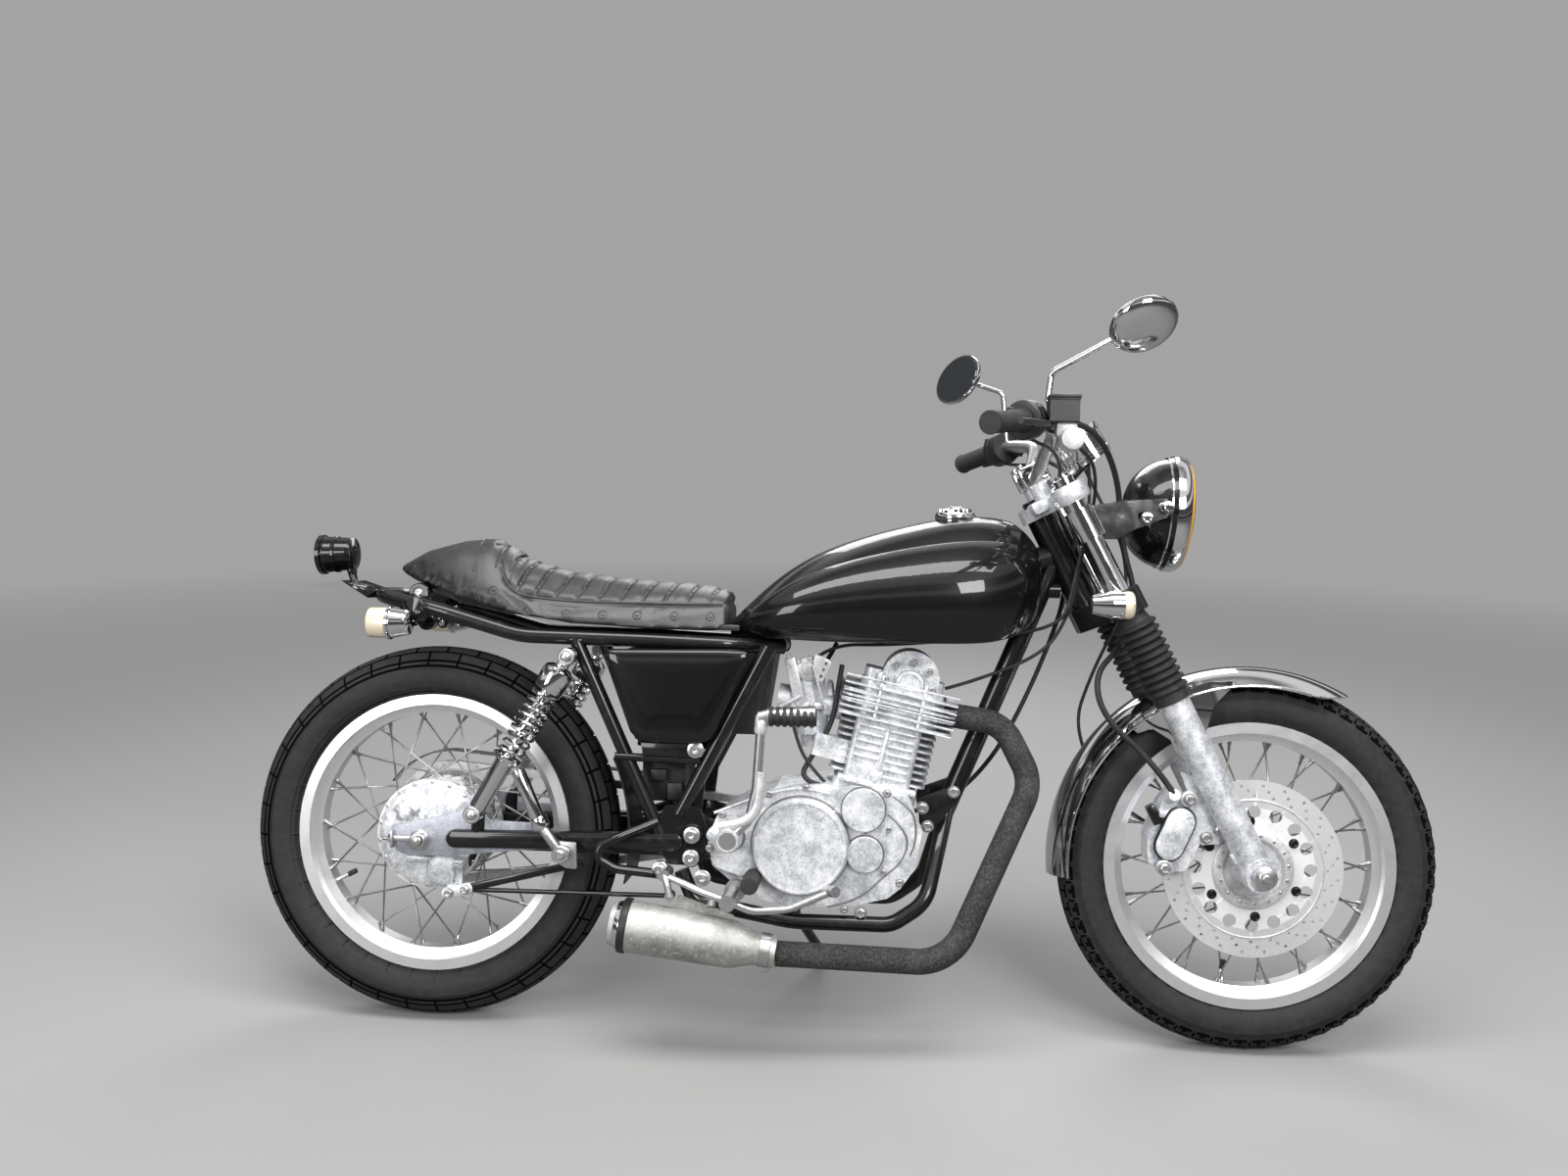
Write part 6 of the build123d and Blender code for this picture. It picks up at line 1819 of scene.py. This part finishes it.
refinished("rear_hub_laced", "rear_hub", "rear_wheel", "hub", "spoke",
           lambda p: (from_axle(p, REAR_AXLE) > 98
                      or from_axle(p, REAR_AXLE) > 94 and abs(p.y) < 28))
refinished("front_hub_laced", "front_hub", "front_wheel", "hub", "spoke",
           lambda p: from_axle(p, FRONT_AXLE) > 69)
NIPPLE = turn("nipple", ORIGIN, UP, [(3.6, -2), (3.6, 7), (2.6, 8.4), (2.6, 17), (1.9, 18)], 8)
HEAD = turn("spoke_head", ORIGIN, UP, [(3.4, -1), (3.4, 1.2), (2.2, 2.2)], 8)
for body, axle, flange_r in (("rear_wheel", REAR_AXLE, 93), ("front_wheel", FRONT_AXLE, 57)):
    ends, heads = [], []
    for side in SIDES:
        for pair in range(9):
            for leading in (-1, 1):
                foot = math.radians((pair + 0.25 * leading + 0.25 * side) * 40)
                head = foot + leading * math.radians(42)
                hub = axle + Vector((flange_r * math.cos(foot), side * 31,
                                     flange_r * math.sin(foot)))
                rim = axle + Vector((211 * math.cos(head), side * 8, 211 * math.sin(head)))
                ends.append((rim, (hub - rim).normalized()))
                heads.append((hub + Vector((0, side * 2, 0)), outward(side)))
    wheel = body.split("_")[0]
    park(bolts(f"{wheel}_nipples", NIPPLE, ends), body, "spoke")
    park(bolts(f"{wheel}_spoke_heads", HEAD, heads), body, "steel")
    valve = math.radians(208 if wheel == "rear" else 260)
    inner = axle + Vector((213 * math.cos(valve), 0, 213 * math.sin(valve)))
    outer = axle + Vector((172 * math.cos(valve), 0, 172 * math.sin(valve)))
    park(rod(f"{wheel}_valve", inner, (inner + outer * 2) / 3, 3.4, 14, 0.5), body, "steel")
    park(rod(f"{wheel}_valve_cap", (inner + outer * 1.5) / 2.5, outer, 4.8, 14, 1), body, "rubber")
rivet_places = [(wheel_point(REAR_AXLE, 90, k * 20 + 9, -55), RIGHT) for k in range(18)]
park(bolts("plate_rivets", HEAD, rivet_places), "chassis", "steel")
discard(NIPPLE, HEAD)

# %% [markdown]
# A chain's pins lie on a belt round both sprockets, a pitch apart. Walking that belt gives
# the pins, and each pair of pins gets an oval plate on either side.

# %% Chain
CHAIN_PITCH = 15.875
SPROCKETS = ((Vector((0, 72, 327)), 106), (Vector((545, 72, 345)), 40))


def chain_pins():
    """The chain's pins, evenly spaced along the belt round both sprockets."""
    (rear, rear_r), (front, front_r) = SPROCKETS
    run = front - rear
    heading = math.atan2(run.z, run.x)
    wrap = math.acos((rear_r - front_r) / run.length)
    straight = math.sqrt(run.length ** 2 - (rear_r - front_r) ** 2)
    parts = (straight, front_r * 2 * wrap, straight, rear_r * 2 * (math.pi - wrap))
    count = round(sum(parts) / CHAIN_PITCH)
    step = sum(parts) / count
    up, down = heading + wrap, heading - wrap
    places = []

    def corner(centre, radius, angle):
        return centre + Vector((math.cos(angle), 0, math.sin(angle))) * radius

    for number in range(count):
        walked = number * step
        if walked < parts[0]:
            share = walked / parts[0]
            places.append(corner(rear, rear_r, up).lerp(corner(front, front_r, up), share))
        elif walked < parts[0] + parts[1]:
            places.append(corner(front, front_r, up - (walked - parts[0]) / front_r))
        elif walked < sum(parts[:3]):
            share = (walked - parts[0] - parts[1]) / parts[2]
            places.append(corner(front, front_r, down).lerp(corner(rear, rear_r, down), share))
        else:
            places.append(corner(rear, rear_r, down - (walked - sum(parts[:3])) / rear_r))
    return places


LINK = capsule("link", ((-7.9, 0), (7.9, 0)), 6.2, -1, 1, 0, 5)
pins = chain_pins()
links = []
for number, pin in enumerate(pins):
    follow = pins[(number + 1) % len(pins)]
    heading = math.atan2(follow.z - pin.z, follow.x - pin.x)
    offset = 9.6 if number % 2 else 8
    for side in SIDES:
        middle = (pin + follow) / 2 + Vector((0, side * offset, 0))
        links.append(copy(LINK, Matrix.Rotation(-heading, 3, "Y").to_quaternion(), middle))
park(joined("chain_links", links), "chassis", "steel")
discard(LINK)

# %% [markdown]
# Pressed covers are crowned: flat in the middle, falling away at the edge. The outer face is
# extruded and scaled inwards again and again, each time rising a little less.

# %% Side covers
COVER = [(311, 662), (520, 667), (567, 664), (502, 520), (486, 507), (384, 506), (366, 517)]
covers = []
for side in SIDES:
    cover = plate("cover", COVER, side * 121, side * 129, 0, 16)
    edit(cover)
    pick(cover, lambda place, normal: normal.y * side > 0.9)
    for shrink, rise in ((0.985, 2.6), (0.965, 2.4), (0.93, 2), (0.88, 1.5), (0.76, 1), (0.6, 0.5)):
        bpy.ops.mesh.extrude_region_move()
        bpy.ops.transform.translate(value=(0, side * rise, 0))
        bpy.ops.transform.resize(value=(shrink, 1, shrink), center_override=(438, 0, 592))
    leave()
    rounded(cover, 2.4, 3, 40)
    covers.append(cover)
park(joined("cover_panels", covers), "chassis", "gloss", 50)

# %% [markdown]
# Behind the covers are the rail and tabs that carry them, a battery in its box, and a thin
# curved guard against the wheel's spray, which is one arc and its offset.

# %% Frame brackets, battery box and inner guard
trim = []
for side in SIDES:
    trim.append(rod("cover_rail", (335, side * 112, 480), (481, side * 112, 477), 7, 16))
    trim.append(plate("cover_tab", [(380, 505), (384, 484), (470, 482), (488, 496), (484, 508)],
                      side * 117, side * 121, 1))
    trim.append(plate("post_gusset", [(489, 449), (458, 405), (425, 354), (480, 361)], side * 93,
                      side * 98, 1))
    trim.append(turn("mount_boss", (470, side * 112, 353), (0, side, 0),
                     [(18, 0), (18, 8), (16, 10)], 32))
    trim.append(turn("mount_boss", (469, side * 112, 314), (0, side, 0),
                     [(16, 0), (16, 6), (14, 8)], 32))
    trim.append(turn("mount_boss", (489, side * 110, 280), (0, side, 0),
                     [(11, 0), (11, 5), (10, 6)], 28))
park(joined("frame_brackets", trim), "chassis", "frame")
box = [bar("battery_box", (412, 0, 436), (76, 128, 74), None, 4),
       bar("battery_lid", (412, 0, 476), (82, 134, 10), None, 3),
       bar("fuse_block", (404, -70, 446), (28, 16, 20), None, 2),
       bar("regulator", (432, -70, 418), (24, 14, 30), None, 2)]
guard = []
for radius in (352, 355):
    arc = [math.radians(-12 + 36 * step / 14) for step in range(15)]
    guard.append([(radius * math.cos(a), REAR_TYRE_R + radius * math.sin(a)) for a in arc])
box.append(plate("inner_guard", guard[0] + guard[1][::-1], -62, 62))
park(joined("battery_and_guard", box), "chassis", "plastic")

# %% [markdown]
# The passenger's rests are folded up along the frame. Each is a capped tube in a band, on a
# link that turns about a bolt in a small plate.

# %% Folded rear foot rests
for side, name in ((-1, "right"), (1, "left")):
    out = outward(side)
    pivot = Vector((255, side * 148, 319))
    collar = Vector((219, side * 150, 366))
    tip = Vector((176, side * 150, 461))
    run = (tip - collar).normalized()
    rest = [turn("rest_tube", collar, run, [(10, 0), (12, 6), (12, 92), (11, 98), (8, 101)], 28),
            turn("rest_band", collar, run, [(13.4, -6), (14.4, -4), (14.4, 12), (13.4, 14)], 28,
                 closed=True)]
    park(joined(f"rear_rest_{name}", rest), "chassis", "chrome")
    link = [rod("rest_link", pivot, collar, 9, 20, 1),
            plate("rest_plate", [(237, 340), (279, 338), (281, 293), (262, 294), (238, 308)],
                  side * 139, side * 145, 1.5, 4)]
    park(joined(f"rest_link_{name}", link), "chassis", "steel")
    park(turn(f"rest_pivot_{name}", pivot + out * 2, out,
              [(15, 0), (15, 8), (13, 10), (8, 10), (8, 14), (6, 16)], 28), "chassis", "steel")

# %% [markdown]
# The largest bolts of the frame have broad round heads with a raised, hollow middle. Their
# profile is turned once and copied to both sides.

# %% Frame bolts
WIDE = turn("frame_bolt", ORIGIN, UP,
            [(14, -1), (14, 1.6), (12.4, 2.4), (9.6, 2.4), (9, 2.6), (9, 8), (7.6, 9.4),
             (5, 9.4), (4.2, 6.4), (3.6, 6)], 28)
frame_bolts = []
for side in SIDES:
    out = outward(side)
    for x, y, z in ((470, 122, 353), (469, 120, 314), (473, 121, 496), (418, 124, 293),
                    (489, 116, 280)):
        frame_bolts.append((Vector((x, side * y, z)), out))
park(bolts("frame_bolts", WIDE, frame_bolts), "chassis", "steel")
bosses = [turn("bolt_boss", (418, side * 112, 293), (0, side, 0), [(14, 0), (14, 10), (12, 12)], 28)
          for side in SIDES]
park(joined("bolt_bosses", bosses), "chassis", "chrome")
discard(WIDE, PLATE_BOLT)

# %% [markdown]
# A small round lamp looks backwards from its stalk. Its lip, band and lens are turned along
# one axis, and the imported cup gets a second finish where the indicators' stems are.

# %% Tail lamp
refinished("tail_lamp_group", "tail_lights", "chassis", "gloss", "chrome",
           lambda p: abs(p.y) > 138 and -42 < p.x < 0)
TAIL_BACK = Vector((-1, 0, -0.05)).normalized()
tail_end = Vector((-226, 0, 813))
lip = [turn("tail_lip", tail_end, TAIL_BACK,
            [(33, -5), (35.6, -4), (35.6, 3), (34, 4), (31.6, 4), (31.6, 0)], 56, closed=True),
       turn("tail_band", tail_end, TAIL_BACK,
            [(31.6, -30), (32.6, -29), (32.6, -24), (31.8, -23)], 56, closed=True),
       rod("tail_clamp", (-172, -8, 826), (-172, 8, 826), 6, 16),
       bar("tail_strap", (-170, 0, 800), (6, 22, 44), None, 1.5)]
park(joined("tail_lip", lip), "chassis", "gloss")

# %% [markdown]
# Round mounts tie the tail loop to the lamps, and a thin base closes the gap between the
# padding and the rails. Both come in pairs, mirrored by their side.

# %% Tail mounts and the seat's base
mounts = []
for side in SIDES:
    for x, z, radius in ((-25, 748, 18), (-11, 699, 15), (18, 697, 9)):
        mounts.append(turn("tail_mount", (x, side * 62, z), (0, side, 0),
                           [(radius, -16), (radius, 6), (radius - 2, 8), (radius - 6, 8),
                            (radius - 7, 6)], 36))
park(joined("tail_mounts", mounts), "chassis", "gloss")
park(bolts("tail_bolts", HEX, [(Vector((x, side * 68, z)), outward(side))
                               for side in SIDES for x, z in ((-25, 748), (18, 697))]),
     "chassis", "steel")
base = [plate("seat_base", [(120, 742), (170, 716), (250, 703), (380, 698), (540, 697),
                            (540, 706), (380, 709), (250, 716), (170, 732)],
              side * 78, side * 96, 1) for side in SIDES]
park(joined("seat_base", base), "chassis", "plastic")

# %% [markdown]
# The tail lamp's lens is a shallow red dome. The indicators at the back repeat the front ones,
# a size larger, and look straight back.

# %% Lenses and rings at the back
park(turn("tail_lens", tail_end, TAIL_BACK,
          [(31.4, -1), (31, 3), (26, 5.6), (14, 7.6), (0, 8.2)], 48), "chassis", "red", 60)
rear_lenses = [turn("rear_lens", (-40, side * 168, 699), (-1, 0, 0),
                    [(25.6, 1), (25.6, 31), (24.6, 33.4), (21, 35), (0, 35.4)], 40)
               for side in SIDES]
park(joined("rear_lenses", rear_lenses), "chassis", "pale", 50)
rings = [turn("rear_ring", (-40, side * 168, 699), (1, 0, 0),
              [(27, -2), (28.2, -1), (28.2, 3), (27, 4)], 40, closed=True)
         for side in SIDES]
park(joined("indicator_rings", rings), "chassis", "chrome")

# %% [markdown]
# The muffler ends in a dark band and a rolled chrome cap round its bore, which a dark disc of
# painted shade closes. Clamps hold the pipe at the muffler and at the port.

# %% Muffler's end and the exhaust clamps
MUFFLER_REAR = Vector((370, -158, 206))
MUFFLER_FRONT = Vector((545, -158, 182))
MUFFLER_AXIS = (MUFFLER_REAR - MUFFLER_FRONT).normalized()
park(turn("muffler_band", MUFFLER_REAR, MUFFLER_AXIS,
          [(43, -4), (45.4, -3), (45.4, 7), (44, 9), (40, 9)], 64, closed=True),
     "chassis", "plastic")
park(turn("muffler_cap", MUFFLER_REAR, MUFFLER_AXIS,
          [(40, 8), (38, 16), (33, 23), (27, 27), (22, 28), (20, 26), (19, 22), (12, 20)], 56),
     "chassis", "chrome")
# A thin dark disc in the bore is painted shade inside the pipe.
park(turn("muffler_bore_shade", MUFFLER_REAR + MUFFLER_AXIS * 20.6, MUFFLER_AXIS,
          [(14, 0), (14, 0.8)], 32), "chassis", "rubber")
clamps = [turn("clamp", MUFFLER_FRONT - MUFFLER_AXIS * 56, MUFFLER_AXIS,
               [(26, -9), (28, -8), (28, 8), (26, 9)], 48, closed=True),
          bar("clamp_lug", Vector((601, -158, 146)), (16, 12, 14), None, 2),
          turn("port_collar", (885, -36, 562), (1, -0.1, -0.1),
               [(23, -4), (31, -3), (31, 6), (25, 8), (23, 8)], 48, closed=True)]
park(joined("exhaust_clamps", clamps), "chassis", "steel")

# %% [markdown]
# A tank is two pressings welded along its lower edge. The weld's flange is a thin bead that
# follows the edge on both sides.

# %% Tank seam
SEAM = [(536, 46, 690), (580, 84, 688), (640, 99, 686.5), (700, 108, 685), (840, 116, 686),
        (950, 108, 688), (990, 94, 697), (1016, 78, 706), (1036, 54, 732)]
seams = [line("seam", [(x, side * y, z) for x, y, z in SEAM], 2.6, 3) for side in SIDES]
park(joined("tank_seam", seams), "chassis", "gloss")

# %% [markdown]
# The cap has a turned rim, a knurled edge for the fingers and a flap over its lock. The
# knurl is a small rod copied round the cap.

# %% Filler cap
CAP = Vector((904.8, 0, 893))
cap = [turn("cap_ring", CAP, (0, 0, 1), [(33, 2), (35, 3), (35.6, 6), (35, 12), (33, 15)], 56,
            closed=True),
       turn("cap_top", CAP, (0, 0, 1), [(26, 20), (27, 21), (25, 24), (12, 25.4), (0, 25.8)], 48),
       bar("cap_flap", CAP + Vector((0, 0, 25)), (22, 9, 4), None, 1.2)]
for step in range(18):
    angle = math.radians(step * 20)
    spot = CAP + Vector((26.4 * math.cos(angle), 26.4 * math.sin(angle), 18))
    cap.append(rod("cap_knurl", spot - Vector((0, 0, 3)), spot + Vector((0, 0, 4)), 1.8, 8))
park(joined("cap_details", cap), "chassis", "chrome")

discard(HEX, SOCKET, LARGE)
